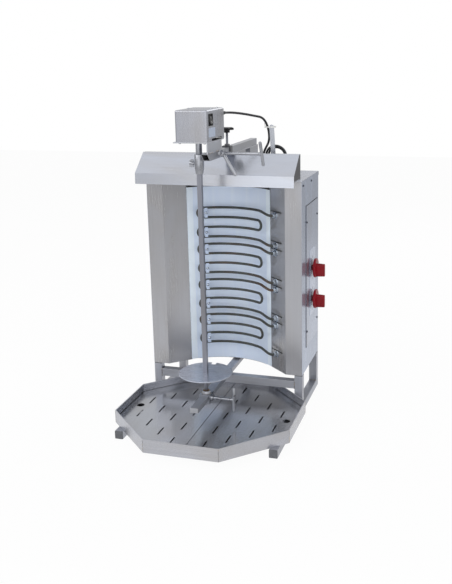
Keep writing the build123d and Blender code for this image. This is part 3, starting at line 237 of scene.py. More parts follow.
class ShaderGraph(NodeGraph):
    """A material under construction, with one principled shader."""

    def __init__(self, name: str) -> None:
        """Start an empty material.

        Args:
            name: Name of the material.
        """
        self.material = bpy.data.materials.new(name)
        super().__init__(self.material)
        self.surface = self.add("ShaderNodeOutputMaterial").inputs["Surface"]
        self.shader = self.add("ShaderNodeBsdfPrincipled")
        self.join(self.shader.outputs["BSDF"], self.surface)
        coordinates = self.add("ShaderNodeTexCoord")
        self.place = coordinates.outputs["Object"]
        self.facing = coordinates.outputs["Normal"]
        self.relief: Socket | None = None

    def set(self, **values: float | tuple) -> None:
        """Set the shader's own sockets, with underscores for spaces in their names."""
        for name, value in values.items():
            self.shader.inputs[name.replace("_", " ")].default_value = value

    def feed(self, **patterns: Socket) -> None:
        """Link patterns to the shader's sockets, with underscores for spaces in their names."""
        for name, pattern in patterns.items():
            self.join(pattern, self.shader.inputs[name.replace("_", " ")])

    def clouds(self, frequency: Vector | float, detail: float, distortion: float = 0.0) -> Socket:
        """Add a cloudy pattern, stretched where its frequencies differ.

        Args:
            frequency: Cycles per metre, along X, Y and Z or the same all ways.
            detail: Number of finer layers.
            distortion: How much the pattern swirls.

        Returns:
            The pattern's value, around 0.5.
        """
        mapping = self.add("ShaderNodeMapping")
        even = not isinstance(frequency, Vector)
        mapping.inputs["Scale"].default_value = (frequency,) * 3 if even else frequency
        self.join(self.place, mapping.inputs["Vector"])
        noise = self.add("ShaderNodeTexNoise")
        noise.inputs["Scale"].default_value = 1.0
        noise.inputs["Detail"].default_value = detail
        noise.inputs["Distortion"].default_value = distortion
        self.join(mapping.outputs["Vector"], noise.inputs["Vector"])
        return noise.outputs["Fac"]

    def beyond(self, vector: Socket, axis: str, limit: float) -> Socket:
        """Tell where a vector reaches past a limit along one axis, to either side.

        Args:
            vector: A place or a facing.
            axis: Letter of the axis.
            limit: The limit.

        Returns:
            1 past the limit and 0 elsewhere.
        """
        split = self.add("ShaderNodeSeparateXYZ")
        self.join(vector, split.inputs[0])
        size = self.add("ShaderNodeMath", operation="ABSOLUTE")
        self.join(split.outputs[axis.upper()], size.inputs[0])
        return self.combined("GREATER_THAN", size.outputs[0], limit)

    def streaks(self, grain: Grain, along: float, across: float, detail: float) -> Socket:
        """Add brushing marks that turn where a sheet's face meets the grain end on.

        Args:
            grain: Their direction.
            along: Cycles per metre along them.
            across: Cycles per metre square to them.
            detail: Number of finer layers.

        Returns:
            The pattern's value, around 0.5.
        """
        flat = self.clouds(grain.frequency(along, across), detail)
        folded = self.clouds(grain.folded.frequency(along, across), detail)
        mix = self.add("ShaderNodeMix")
        self.join(self.beyond(self.facing, grain.value, END_ON), mix.inputs["Factor"])
        self.join(flat, mix.inputs["A"])
        self.join(folded, mix.inputs["B"])
        return mix.outputs["Result"]

    def tints(self, source: Socket, *stops: tuple[float, Colour]) -> Socket:
        """Colour a pattern.

        Args:
            source: The pattern.
            *stops: Places on the pattern's range with their display colours.

        Returns:
            The colour.
        """
        ramp = self.add("ShaderNodeValToRGB")
        elements = ramp.color_ramp.elements
        while len(elements) < len(stops):
            elements.new(0.5)
        for element, (place, colour) in zip(elements, stops):
            element.position = place
            element.color = linear(colour)
        self.join(source, ramp.inputs["Fac"])
        return ramp.outputs["Color"]

    def mixed(self, factor: Socket, first: Socket, second: Socket) -> Socket:
        """Blend two colours.

        Args:
            factor: Share of the second one.
            first: Colour at factor 0.
            second: Colour at factor 1.

        Returns:
            The blended colour.
        """
        mix = self.add("ShaderNodeMix", data_type="RGBA")
        self.join(factor, mix.inputs["Factor"])
        for colour, place in zip((first, second), MIX_COLOURS):
            self.join(colour, mix.inputs[place])
        return mix.outputs[MIX_RESULT]

    def raise_surface(self, height: Socket, depth: float) -> None:
        """Add relief on top of what the surface has so far.

        Args:
            height: Pattern of the relief.
            depth: Its depth in metres.
        """
        node = self.add("ShaderNodeBump")
        node.inputs["Distance"].default_value = depth
        self.join(height, node.inputs["Height"])
        if self.relief is not None:
            self.join(self.relief, node.inputs["Normal"])
        self.relief = node.outputs["Normal"]
        self.feed(Normal=self.relief)


@dataclass(frozen=True)
class Finish:
    """A surface finish: name, slot of the record, display colour and roughness."""

    name: str
    slot: str
    tint: Colour
    roughness: float

    def material(self) -> bpy.types.Material:
        """Give the finish's material, made on its first use.

        Returns:
            The material.
        """
        known = bpy.data.materials.get(self.name)
        if known is not None:
            return known
        graph = ShaderGraph(self.name)
        self.build(graph)
        return graph.material

    def build(self, graph: ShaderGraph) -> None:
        """Fill in the material."""
        raise NotImplementedError

    def shades(self, low: float, high: float, base: Colour | None = None) -> tuple[Colour, Colour]:
        """Scale a colour, or the finish's own one, by two factors."""
        colour = base or self.tint
        return shaded(colour, low), shaded(colour, high)

    def roughened(self, graph: ShaderGraph, pattern: Socket, low: float, high: float) -> Socket:
        """Vary the finish's roughness with a pattern, between two factors of it."""
        return graph.spread(pattern, self.roughness * low, self.roughness * high)


@dataclass(frozen=True)
class BrushedSteel(Finish):
    """Stainless sheet or tube with a brushed grain, soft staining that also paints broad reflections, and
    wiping marks.
    """

    grain: Grain = Grain.UPRIGHT
    contrast: float = 0.016
    depth: float = 2 * MICRON
    metal: float = 0.8
    # Bluish tint painted on the outer side faces as a reflection of the bright air, and where those faces
    # start.
    side_film: Colour | None = None
    side_from: float = 0.2494

    def build(self, graph: ShaderGraph) -> None:
        """Lay streaks, staining with painted broad reflections and a fine relief along the grain, and a
        painted reflection tint on the outer sides.

        Args:
            graph: The material's graph.
        """
        streaks = graph.streaks(self.grain, along=5, across=300, detail=3)
        hairs = graph.streaks(self.grain, along=20, across=1500, detail=1)
        # Broad streaks along the grain: partly staining, partly painted broad reflections.
        stains_and_painted_reflections = graph.clouds(self.grain.frequency(along=3.5, across=9), detail=3, distortion=0.6)
        span = 1 - self.contrast, 1 + self.contrast
        warm = tuple(value * share for value, share in zip(self.tint, STAIN_AND_REFLECTION_SHARES))
        fresh, stain_and_painted_reflection = (
            graph.tints(streaks, *zip((0.3, 0.7), self.shades(*span, base))) for base in (self.tint, warm)
        )
        share = graph.spread(stains_and_painted_reflections, 0.0, 1.0, 0.42, 0.72)
        colour = graph.mixed(share, fresh, stain_and_painted_reflection)
        # Painted reflection: past side_from the outer side faces take a bluish tint that stands for the
        # bright air they mirror.
        if self.side_film is not None:
            film = graph.tints(stains_and_painted_reflections, *zip((0.35, 0.7), self.shades(0.95, 1.05, self.side_film)))
            colour = graph.mixed(graph.beyond(graph.place, "x", self.side_from), colour, film)
        rough = self.roughened(graph, hairs, 0.93, 1.1)
        smudge = graph.spread(stains_and_painted_reflections, 0.95, 1.12, 0.35, 0.75)
        graph.feed(Base_Color=colour, Roughness=graph.combined("MULTIPLY", rough, smudge))
        graph.raise_surface(streaks, self.depth)
        graph.set(Metallic=self.metal)


@dataclass(frozen=True)
class FilmedSteel(Finish):
    """Stainless sheet under its light blue protective film, with wrinkles and air pockets."""

    pale: Colour = (214, 224, 242)
    metal: float = 0.45
    film: float = 0.35
    # Where the painted highlight on the outer edges starts, or None for none.
    fold_from: float | None = None

    def build(self, graph: ShaderGraph) -> None:
        """Lay the film's pale patches, wrinkles and pockets, and any painted highlight on the outer edges.

        Args:
            graph: The material's graph.
        """
        patches = graph.clouds(Vector((5, 5, 3.5)), detail=4, distortion=0.8)
        drags = graph.clouds(Grain.UPRIGHT.frequency(along=4, across=70), detail=3)
        colour = graph.tints(patches, (0.32, self.tint), (0.72, self.pale))
        faded = graph.tints(drags, (0.3, shaded(self.tint, 0.96)), (0.75, shaded(self.pale, 0.99)))
        colour = graph.mixed(graph.spread(drags, 0.15, 0.5), colour, faded)
        # Painted highlight: past this limit the film turns paler, standing for the brighter light on the
        # reflector's outer edges.
        if self.fold_from is not None:
            edge = graph.tints(patches, (0.32, self.pale), (0.72, shaded(self.pale, 1.03)))
            colour = graph.mixed(graph.beyond(graph.place, "x", self.fold_from), colour, edge)
        graph.feed(Base_Color=colour, Roughness=self.roughened(graph, patches, 0.8, 1.3))
        wrinkles = graph.clouds(Vector((28, 28, 16)), detail=3, distortion=1.4)
        graph.raise_surface(graph.spread(wrinkles, 0.0, 1.0, 0.45, 0.6), 80 * MICRON)
        graph.raise_surface(graph.clouds(260, detail=2), 10 * MICRON)
        graph.set(Metallic=self.metal, Coat_Weight=self.film, Coat_Roughness=0.18)


@dataclass(frozen=True)
class PolishedSteel(Finish):
    """Turned or drawn steel with fine rings, handling marks and a soft gloss."""

    dull: float = 0.9

    def build(self, graph: ShaderGraph) -> None:
        """Lay fine turning marks over darker handling marks.

        Args:
            graph: The material's graph.
        """
        marks = graph.clouds(45, detail=5, distortion=0.4)
        rings = graph.clouds(Vector((120, 120, 1500)), detail=2)
        colour = graph.tints(marks, *zip((0.3, 0.7), self.shades(self.dull, 1.06)))
        graph.feed(Base_Color=colour, Roughness=self.roughened(graph, marks, 0.75, 1.35))
        graph.raise_surface(rings, 20 * MICRON)
        graph.raise_surface(marks, 30 * MICRON)
        graph.set(Metallic=1.0)


@dataclass(frozen=True)
class HeatedSheath(Finish):
    """Element sheath, browned and greened unevenly by heat."""

    hot: Colour = (84, 65, 54)
    metal: float = 0.75

    def build(self, graph: ShaderGraph) -> None:
        """Mix the two heat colours along the rod with a dusty oxide.

        Args:
            graph: The material's graph.
        """
        bands = graph.clouds(Vector((9, 9, 7)), detail=2, distortion=0.5)
        specks = graph.clouds(420, detail=3)
        colour = graph.tints(bands, (0.34, self.tint), (0.52, shaded(self.tint, 1.2)), (0.68, self.hot))
        dusty = graph.tints(specks, (0.35, shaded(self.tint, 0.8)), (0.7, shaded(self.hot, 1.15)))
        colour = graph.mixed(graph.spread(specks, 0.05, 0.4), colour, dusty)
        graph.feed(Base_Color=colour, Roughness=self.roughened(graph, specks, 0.8, 1.3))
        graph.raise_surface(specks, 60 * MICRON)
        graph.set(Metallic=self.metal)


@dataclass(frozen=True)
class MouldedPlastic(Finish):
    """Moulded plastic or rubber with a fine skin and slight colour drift."""

    skin: float = 40 * MICRON
    gloss: float = 0.0
    drift: float = 0.12
    shine: float = 0.5

    def build(self, graph: ShaderGraph) -> None:
        """Lay the moulded skin and the drift of colour.

        Args:
            graph: The material's graph.
        """
        skin = graph.clouds(900, detail=2)
        drift = graph.clouds(40, detail=3)
        colour = graph.tints(drift, *zip((0.3, 0.7), self.shades(1 - self.drift, 1 + self.drift)))
        graph.feed(Base_Color=colour, Roughness=self.roughened(graph, skin, 0.85, 1.15))
        graph.raise_surface(skin, self.skin)
        graph.set(Coat_Weight=self.gloss, Coat_Roughness=0.12, Specular_IOR_Level=self.shine)


@dataclass(frozen=True)
class MineralWool(Finish):
    """Pressed mineral wool with loose fibres."""

    def build(self, graph: ShaderGraph) -> None:
        """Lay matted fibres in two directions.

        Args:
            graph: The material's graph.
        """
        flat = graph.clouds(Vector((40, 220, 900)), detail=4, distortion=1.5)
        upright = graph.clouds(Vector((700, 200, 60)), detail=4, distortion=1.5)
        colour = graph.tints(flat, *zip((0.3, 0.7), self.shades(0.8, 1.1)))
        other = graph.tints(upright, *zip((0.3, 0.7), self.shades(0.85, 1.15)))
        graph.feed(Base_Color=graph.mixed(upright, colour, other))
        graph.raise_surface(flat, 1.2 * MM)
        graph.raise_surface(upright, 0.8 * MM)
        graph.set(Roughness=self.roughness)


@dataclass(frozen=True)
class WeldedSteel(Finish):
    """Weld bead, dull silver with straw and blue heat colours."""

    straw: Colour = (176, 160, 134)
    blued: Colour = (120, 126, 150)

    def build(self, graph: ShaderGraph) -> None:
        """Lay the heat colours and the bead's fine scale.

        Args:
            graph: The material's graph.
        """
        heat = graph.clouds(90, detail=2, distortion=0.8)
        scale = graph.clouds(1200, detail=2)
        stops = (0.3, shaded(self.tint, 0.72)), (0.5, self.tint), (0.6, self.straw), (0.72, self.blued)
        graph.feed(Base_Color=graph.tints(heat, *stops), Roughness=self.roughened(graph, scale, 0.8, 1.3))
        graph.raise_surface(scale, 80 * MICRON)
        graph.set(Metallic=1.0)


# Finishes of the grill's parts. The frame has plain materials of its own, named like the
# slots, so no finish takes a slot's name.
# The column steel's bluish tint on its outer side faces is a painted reflection.
COLUMN_STEEL = BrushedSteel(
    "column_steel", "stainless", (174, 175, 180), 0.24, Grain.UPRIGHT, metal=0.7, side_film=(158, 167, 186),
)
# Painted reflection: the bluish tint stands for the bright air that these sheets mirror.
SIDE_STEEL = BrushedSteel("side_steel", "stainless", (164, 172, 191), 0.22, Grain.UPRIGHT)
ROOF_STEEL = BrushedSteel("roof_steel", "stainless", (166, 170, 182), 0.26, Grain.ACROSS)
HOOD_STEEL = BrushedSteel("hood_steel", "stainless", (196, 200, 210), 0.23, Grain.ACROSS, contrast=0.01)
FRAME_STEEL = BrushedSteel("frame_steel", "stainless", (168, 171, 180), 0.4, Grain.DEEP, contrast=0.025)
CROSS_STEEL = BrushedSteel("cross_steel", "stainless", (168, 170, 177), 0.4, Grain.ACROSS, contrast=0.025)
TRAY_STEEL = BrushedSteel("tray_steel", "stainless", (182, 184, 192), 0.26, Grain.ACROSS)
PLATE_STEEL = BrushedSteel("plate_steel", "stainless", (176, 179, 186), 0.2, Grain.DEEP)
COVER_STEEL = BrushedSteel("cover_steel", "stainless", (168, 170, 178), 0.26, Grain.UPRIGHT, contrast=0.012)
ARM_STEEL = BrushedSteel("arm_steel", "stainless", (168, 170, 176), 0.36, Grain.DEEP, contrast=0.025)
SPIT_STEEL = BrushedSteel("spit_steel", "bright_steel", (138, 140, 149), 0.32, Grain.UPRIGHT, contrast=0.03)
DISC_STEEL = BrushedSteel("disc_steel", "stainless", (188, 193, 206), 0.26, Grain.ACROSS, contrast=0.012)
ROD_STEEL = PolishedSteel("rod_steel", "bright_steel", (164, 166, 172), 0.28)
SCREW_STEEL = PolishedSteel("screw_steel", "bright_steel", (178, 180, 186), 0.24)
DARK_SCREW = PolishedSteel("dark_screw", "bright_steel", (84, 86, 94), 0.34)
NUT_STEEL = PolishedSteel("nut_steel", "bright_steel", (196, 204, 214), 0.22, dull=0.84)
CLIP_STEEL = FilmedSteel(
    "clip_steel", "film_blue", (184, 200, 226), 0.36, pale=(206, 219, 240), metal=0.2, film=0.1,
)
BRACKET_STEEL = BrushedSteel("bracket_steel", "stainless", (190, 193, 200), 0.34, Grain.UPRIGHT)
CAP_STEEL = BrushedSteel("cap_steel", "stainless", (186, 190, 199), 0.34, Grain.ACROSS, metal=0.5)
STRAP_STEEL = PolishedSteel("strap_steel", "smoked_steel", (112, 112, 116), 0.36)
# Painted shade: the hood's end plates take a dark colour that stands for the shade they sit in.
END_STEEL_PAINTED_SHADE = BrushedSteel("end_steel_painted_shade", "smoked_steel", (66, 66, 71), 0.36, Grain.DEEP, contrast=0.05)
WELD = WeldedSteel("weld_bead", "stainless", (150, 150, 154), 0.42)
# The reflector's paler outer edges are a painted highlight.
REFLECTOR_FILM = FilmedSteel(
    "reflector_film", "film_blue", (214, 229, 253), 0.36, pale=(230, 241, 255), metal=0.08, fold_from=0.121,
)
PLATE_FILM = FilmedSteel(
    "plate_film", "film_blue", (172, 183, 206), 0.22, pale=(196, 205, 224), metal=0.5, film=0.3,
)
PATCH_FILM = FilmedSteel(
    "patch_film", "film_blue", (170, 184, 208), 0.32, pale=(196, 206, 224), metal=0.25, film=0.2,
)
SHEATH = HeatedSheath("element_sheath", "heater_sheath", (56, 63, 63), 0.5, metal=0.3)
CRIMSON = MouldedPlastic(
    "knob_crimson", "crimson_plastic", (140, 8, 24), 0.36, 10 * MICRON, gloss=0.06, drift=0.08, shine=0.25,
)
BLACK_PLASTIC = MouldedPlastic("moulded_black", "black_plastic", (15, 15, 18), 0.4, 20 * MICRON, shine=0.3)
CABLE_SKIN = MouldedPlastic("cable_skin", "black_plastic", (34, 34, 37), 0.42, 50 * MICRON)
BLACK_RUBBER = MouldedPlastic("rubber_black", "black_rubber", (26, 26, 27), 0.62, 50 * MICRON)
PAD_RUBBER = MouldedPlastic("pad_rubber", "black_rubber", (92, 94, 98), 0.55, 50 * MICRON)
WHITE_NYLON = MouldedPlastic("nylon_white", "white_nylon", (226, 226, 222), 0.4)
DIAL_INK = MouldedPlastic("dial_ink", "black_plastic", (28, 30, 38), 0.5)
MARK_INK = MouldedPlastic("mark_ink", "white_nylon", (232, 232, 230), 0.45)
MOTOR_PAINT = MouldedPlastic("motor_paint", "motor_grey", (96, 100, 106), 0.45, 100 * MICRON)
BRONZE = PolishedSteel("bearing_bronze", "bronze", (168, 128, 78), 0.34)
WOOL = MineralWool("pressed_wool", "mineral_wool", (206, 200, 182), 0.95)


def dress_node(node: str, finish: Finish, edge: float = 0.0) -> None:
    """Give a solid of the model its finish and, if asked, eased edges.

    Args:
        node: Name of the solid's node.
        finish: Its finish.
        edge: Width of the eased edges, or 0 for none.
    """
    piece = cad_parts[node]
    for slot in piece.material_slots:
        slot.material = finish.material()
    if edge:
        seam = piece.modifiers.new("close_seams", "WELD")
        seam.merge_threshold = SEAM_GAP
        ease_edges(piece, edge)
    LOG.info("node %s: %s", node, finish.name)


def ease_edges(piece: bpy.types.Object, edge: float, segments: int = 2) -> None:
    """Round a piece's sharp edges.

    Args:
        piece: The piece.
        edge: Width of the rounding.
        segments: Faces across it.
    """
    bevel = piece.modifiers.new("eased_edges", "BEVEL")
    bevel.width = edge
    bevel.segments = segments
    bevel.limit_method = "ANGLE"
    bevel.angle_limit = BEVEL_ANGLE
    bevel.harden_normals = True


def put_in_scene(name: str, data: bpy.types.ID) -> bpy.types.Object:
    """Make an object and put it into the scene.

    Args:
        name: Name of the object.
        data: Its mesh, curve, light or camera.

    Returns:
        The object.
    """
    made = bpy.data.objects.new(name, data)
    bpy.context.scene.collection.objects.link(made)
    return made


def final_mesh(holder: bpy.types.Object, *spent: bpy.types.Object) -> bpy.types.Mesh:
    """Take an object's final shape and remove the object.

    Args:
        holder: The object.
        *spent: Objects that shaped it and go too.

    Returns:
        Its mesh.
    """
    graph = bpy.context.evaluated_depsgraph_get()
    mesh = bpy.data.meshes.new_from_object(holder.evaluated_get(graph))
    for unneeded in (holder, *spent):
        bpy.data.objects.remove(unneeded)
    return mesh


def finished_piece(
    name: str, maker: Maker, finish: Finish, body: str | None, edge: float = 0.0,
) -> bpy.types.Object:
    """Turn a mesh under construction into a piece of the object.

    Args:
        name: Name of the piece.
        maker: Its mesh, freed afterwards.
        finish: Its finish.
        body: Body that it rides on, or None to leave it on no body.
        edge: Width of the eased edges, or 0 for none.

    Returns:
        The piece.
    """
    mesh = bpy.data.meshes.new(name)
    bmesh.ops.recalc_face_normals(maker, faces=maker.faces)
    maker.to_mesh(mesh)
    maker.free()
    mesh.polygons.foreach_set("use_smooth", [True] * len(mesh.polygons))
    mesh.set_sharp_from_angle(angle=SMOOTH_ANGLE)
    mesh.materials.append(finish.material())
    piece = put_in_scene(name, mesh)
    if edge:
        ease_edges(piece, edge)
    if body is not None:
        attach(piece, body)
    LOG.info("piece %s: %d faces", name, len(mesh.polygons))
    return piece


def across(way: Vector) -> tuple[Vector, Vector]:
    """Find two directions square to a third one.

    Args:
        way: The third direction.

    Returns:
        The two directions, of length 1.
    """
    spare = UPWARD if abs(way.normalized().z) < 0.9 else REARWARD
    first = way.cross(spare).normalized()
    return first, way.cross(first).normalized()


def circle(centre: Vector, first: Vector, second: Vector, radius: float, sides: int) -> list[Vector]:
    """List the points of a circle.

    Args:
        centre: Its middle.
        first: Direction of its first point.
        second: Direction of a point a quarter turn on.
        radius: Its radius.
        sides: Number of points.

    Returns:
        The points.
    """
    turns = [tau * i / sides for i in range(sides)]
    return [centre + (first * cos(turn) + second * sin(turn)) * radius for turn in turns]


def turned_rings(
    foot: Vector, way: Vector, profile: Iterable[tuple[float, float]], sides: int,
) -> list[list[Vector]]:
    """Turn a profile round an axis.

    Args:
        foot: Start of the axis.
        way: Direction of the axis.
        profile: Pairs of radius and height.
        sides: Points round the axis.

    Returns:
        One ring of points for each pair.
    """
    way = way.normalized()
    first, second = across(way)
    return [circle(foot + way * height, first, second, radius, sides) for radius, height in profile]


def add_rings(maker: Maker, rings: Sequence[Sequence[Vector]], capped: bool = True) -> None:
    """Join rings of points into a skin.

    Args:
        maker: Mesh to add to.
        rings: Rings with as many points each.
        capped: Close the first and last ring.
    """
    rows = [[maker.verts.new(point) for point in ring] for ring in rings]
    count = len(rows[0])
    for low, high in zip(rows, rows[1:]):
        for i in range(count):
            j = (i + 1) % count
            maker.faces.new((low[i], low[j], high[j], high[i]))
    if capped:
        maker.faces.new(rows[0][::-1])
        maker.faces.new(rows[-1])


def add_lathe(
    maker: Maker, foot: Vector, way: Vector, profile: Iterable[tuple[float, float]], sides: int = 24,
) -> None:
    """Add a solid turned from a profile.

    Args:
        maker: Mesh to add to.
        foot: Start of the axis.
        way: Direction of the axis.
        profile: Pairs of radius and height.
        sides: Faces round the axis.
    """
    add_rings(maker, turned_rings(foot, way, profile, sides))


def add_sleeve(
    maker: Maker, foot: Vector, way: Vector, profile: Sequence[tuple[float, float]], bore: float,
    sides: int = 24,
) -> None:
    """Add a solid turned from a profile, with a round bore through it.

    Args:
        maker: Mesh to add to.
        foot: Start of the axis.
        way: Direction of the axis.
        profile: Pairs of radius and height along the outside.
        bore: Radius of the bore.
        sides: Faces round the axis.
    """
    start, end = (bore, profile[0][1]), (bore, profile[-1][1])
    add_rings(maker, turned_rings(foot, way, [start, *profile, end, start], sides), capped=False)
    bmesh.ops.remove_doubles(maker, verts=maker.verts, dist=BORE_GAP)


def add_capsule(maker: Maker, start: Vector, end: Vector, radius: float, sides: int = 20) -> None:
    """Add a round rod with domed ends.

    Args:
        maker: Mesh to add to.
        start: Start of the rod, at the dome's top.
        end: End of the rod, at the dome's top.
        radius: Radius of the rod.
        sides: Faces round it.
    """
    length = (end - start).length
    rise, tip, rounds = radius * 0.6, radius * 0.04, 5
    steps = [pi / 2 * i / rounds for i in range(rounds + 1)]
    foot = [(max(radius * sin(step), tip), rise * (1 - cos(step))) for step in steps]
    top = [(wide, length - high) for wide, high in foot[::-1]]
    add_lathe(maker, start, end - start, foot + top, sides)


def add_prism(maker: Maker, outline: Sequence[Vector], depth: Vector) -> None:
    """Push a flat outline along a direction.

    Args:
        maker: Mesh to add to.
        outline: Points of the outline.
        depth: How far and which way.
    """
    add_rings(maker, [outline, [point + depth for point in outline]])


def add_strip(maker: Maker, start: Vector, end: Vector, side: Vector, depth: Vector) -> None:
    """Add a flat strip along a line.

    Args:
        maker: Mesh to add to.
        start: Start of the line.
        end: End of the line.
        side: From the line to the strip's edge.
        depth: Thickness and its direction.
    """
    add_prism(maker, [start - side, start + side, end + side, end - side], depth)


def add_tube(maker: Maker, line: Sequence[Vector], radii: Sequence[float], sides: int = 12) -> None:
    """Sweep a circle along a line without twisting it.

    Args:
        maker: Mesh to add to.
        line: Points of the line.
        radii: Radius at each point.
        sides: Faces round the tube.
    """
    ways = [(after - before).normalized() for before, after in zip(line, line[1:])]
    ways.append(ways[-1])
    side = across(ways[0])[0]
    rings = []
    for i, point in enumerate(line):
        way = (ways[max(i - 1, 0)] + ways[i]).normalized()
        side = (side - way * side.dot(way)).normalized()
        rings.append(circle(point, side, way.cross(side), radii[i], sides))
    add_rings(maker, rings)


def ripples(radius: float, count: int, valley: float, height: float, spacing: float) -> list[float]:
    """Give a weld bead's radius, step by step.

    Args:
        radius: The bead's plain radius.
        count: Number of steps.
        valley: Share of the radius between two ripples.
        height: Share that a ripple adds.
        spacing: Steps from one ripple to the next.

    Returns:
        The radius at the start and after each step.
    """
    return [radius * (valley + height * abs(sin(pi * i / spacing))) for i in range(count + 1)]


def add_bead(maker: Maker, start: Vector, end: Vector, radius: float) -> None:
    """Lay a weld bead with its ripples along a seam.

    Args:
        maker: Mesh to add to.
        start: Start of the seam.
        end: End of the seam.
        radius: Radius of the bead.
    """
    count = max(6, int((end - start).length / BEAD_STEP))
    line = [start.lerp(end, i / count) for i in range(count + 1)]
    swell = ripples(radius, count, valley=0.86, height=0.16, spacing=2.5)
    swell[0] = swell[-1] = radius * 0.35
    add_tube(maker, line, swell, BEAD_SIDES)


def add_patch(maker: Maker, corner: Vector, width: Vector, height: Vector, depth: Vector) -> None:
    """Add a flat plate with rounded corners.

    Args:
        maker: Mesh to add to.
        corner: One corner of the plate.
        width: From that corner to the next.
        height: From that corner to the one before.
        depth: Thickness and its direction.
    """
    radius = min(width.length, height.length) * 0.12
    steps = 4
    along, upward = width.normalized(), height.normalized()
    middle = corner + (width + height) / 2
    reach_x, reach_y = width.length / 2 - radius, height.length / 2 - radius
    outline = []
    for quarter, (side_x, side_y) in enumerate(((1, 1), (-1, 1), (-1, -1), (1, -1))):
        centre = middle + along * (side_x * reach_x) + upward * (side_y * reach_y)
        for i in range(steps + 1):
            turn = pi / 2 * (quarter + i / steps)
            outline.append(centre + (along * cos(turn) + upward * sin(turn)) * radius)
    add_prism(maker, outline, depth)


def add_mesh(maker: Maker, mesh: bpy.types.Mesh, placement: Matrix) -> None:
    """Add a copy of a mesh.

    Args:
        maker: Mesh to add to.
        mesh: The mesh to copy.
        placement: Where the copy goes.
    """
    copy = mesh.copy()
    copy.transform(placement)
    maker.from_mesh(copy)
    bpy.data.meshes.remove(copy)


def facing(place: Vector, right: Vector, upward: Vector) -> Matrix:
    """Build the placement of something flat that faces a viewer.

    Args:
        place: Its middle.
        right: The viewer's right.
        upward: The viewer's up.

    Returns:
        The placement.
    """
    toward = right.cross(upward)
    return Matrix.Translation(place) @ Matrix((right, upward, toward)).transposed().to_4x4()


@dataclass(frozen=True)
class CrossHead:
    """Pan head of a screw with a cross recess, made once and copied."""

    radius: float = 3.5 * MM
    height: float = 2.4 * MM
    slot_width: float = 0.8 * MM
    slot_length: float = 4.2 * MM
    slot_depth: float = 1.1 * MM
    # Shares of the radius and the height, from the rim up.
    dome: tuple[tuple[float, float], ...] = (
        (1.0, 0.0), (1.0, 0.42), (0.93, 0.66), (0.78, 0.86), (0.5, 0.97), (0.1, 1.0),
    )

    def mesh(self) -> bpy.types.Mesh:
        """Cut the cross out of a domed head.

        Returns:
            The head's mesh, standing on the XY plane.
        """
        maker = bmesh.new()
        profile = [(self.radius * wide, self.height * high) for wide, high in self.dome]
        add_lathe(maker, Vector(), UPWARD, profile)
        head = self.closed("screw_head", maker)
        maker = bmesh.new()
        half, wide = self.slot_length / 2, self.slot_width / 2
        cross = [
            (wide, wide), (wide, half), (-wide, half), (-wide, wide), (-half, wide), (-half, -wide),
            (-wide, -wide), (-wide, -half), (wide, -half), (wide, -wide), (half, -wide), (half, wide),
        ]
        bottom = self.height - self.slot_depth
        add_prism(maker, [Vector((x, y, bottom)) for x, y in cross], UPWARD * self.height)
        cutter = self.closed("screw_cross", maker)
        cut = head.modifiers.new("cross", "BOOLEAN")
        cut.object = cutter
        cut.solver = "EXACT"
        return final_mesh(head, cutter)

    @staticmethod
    def closed(name: str, maker: Maker) -> bpy.types.Object:
        """Put a mesh into the scene while it is cut.

        Args:
            name: Name of its object.
            maker: The mesh, freed afterwards.

        Returns:
            The object.
        """
        bmesh.ops.recalc_face_normals(maker, faces=maker.faces)
        mesh = bpy.data.meshes.new(name)
        maker.to_mesh(mesh)
        maker.free()
        return put_in_scene(name, mesh)


class ScrewSet:
    """Cross-headed screws that share one head."""

    def __init__(self, head: CrossHead) -> None:
        """Cut the head once, from its sizes."""
        self.mesh = head.mesh()

    def add(self, maker: Maker, place: Vector, way: Vector, turn: float) -> None:
        """Add one screw.

        Args:
            maker: Mesh to add to.
            place: Where its head meets the sheet.
            way: Direction in which it stands out.
            turn: Turn of its cross, in radians.
        """
        right = across(way)[0]
        right = Matrix.Rotation(turn, 3, way) @ right
        upward = way.normalized().cross(right)
        add_mesh(maker, self.mesh, facing(place, right, upward))


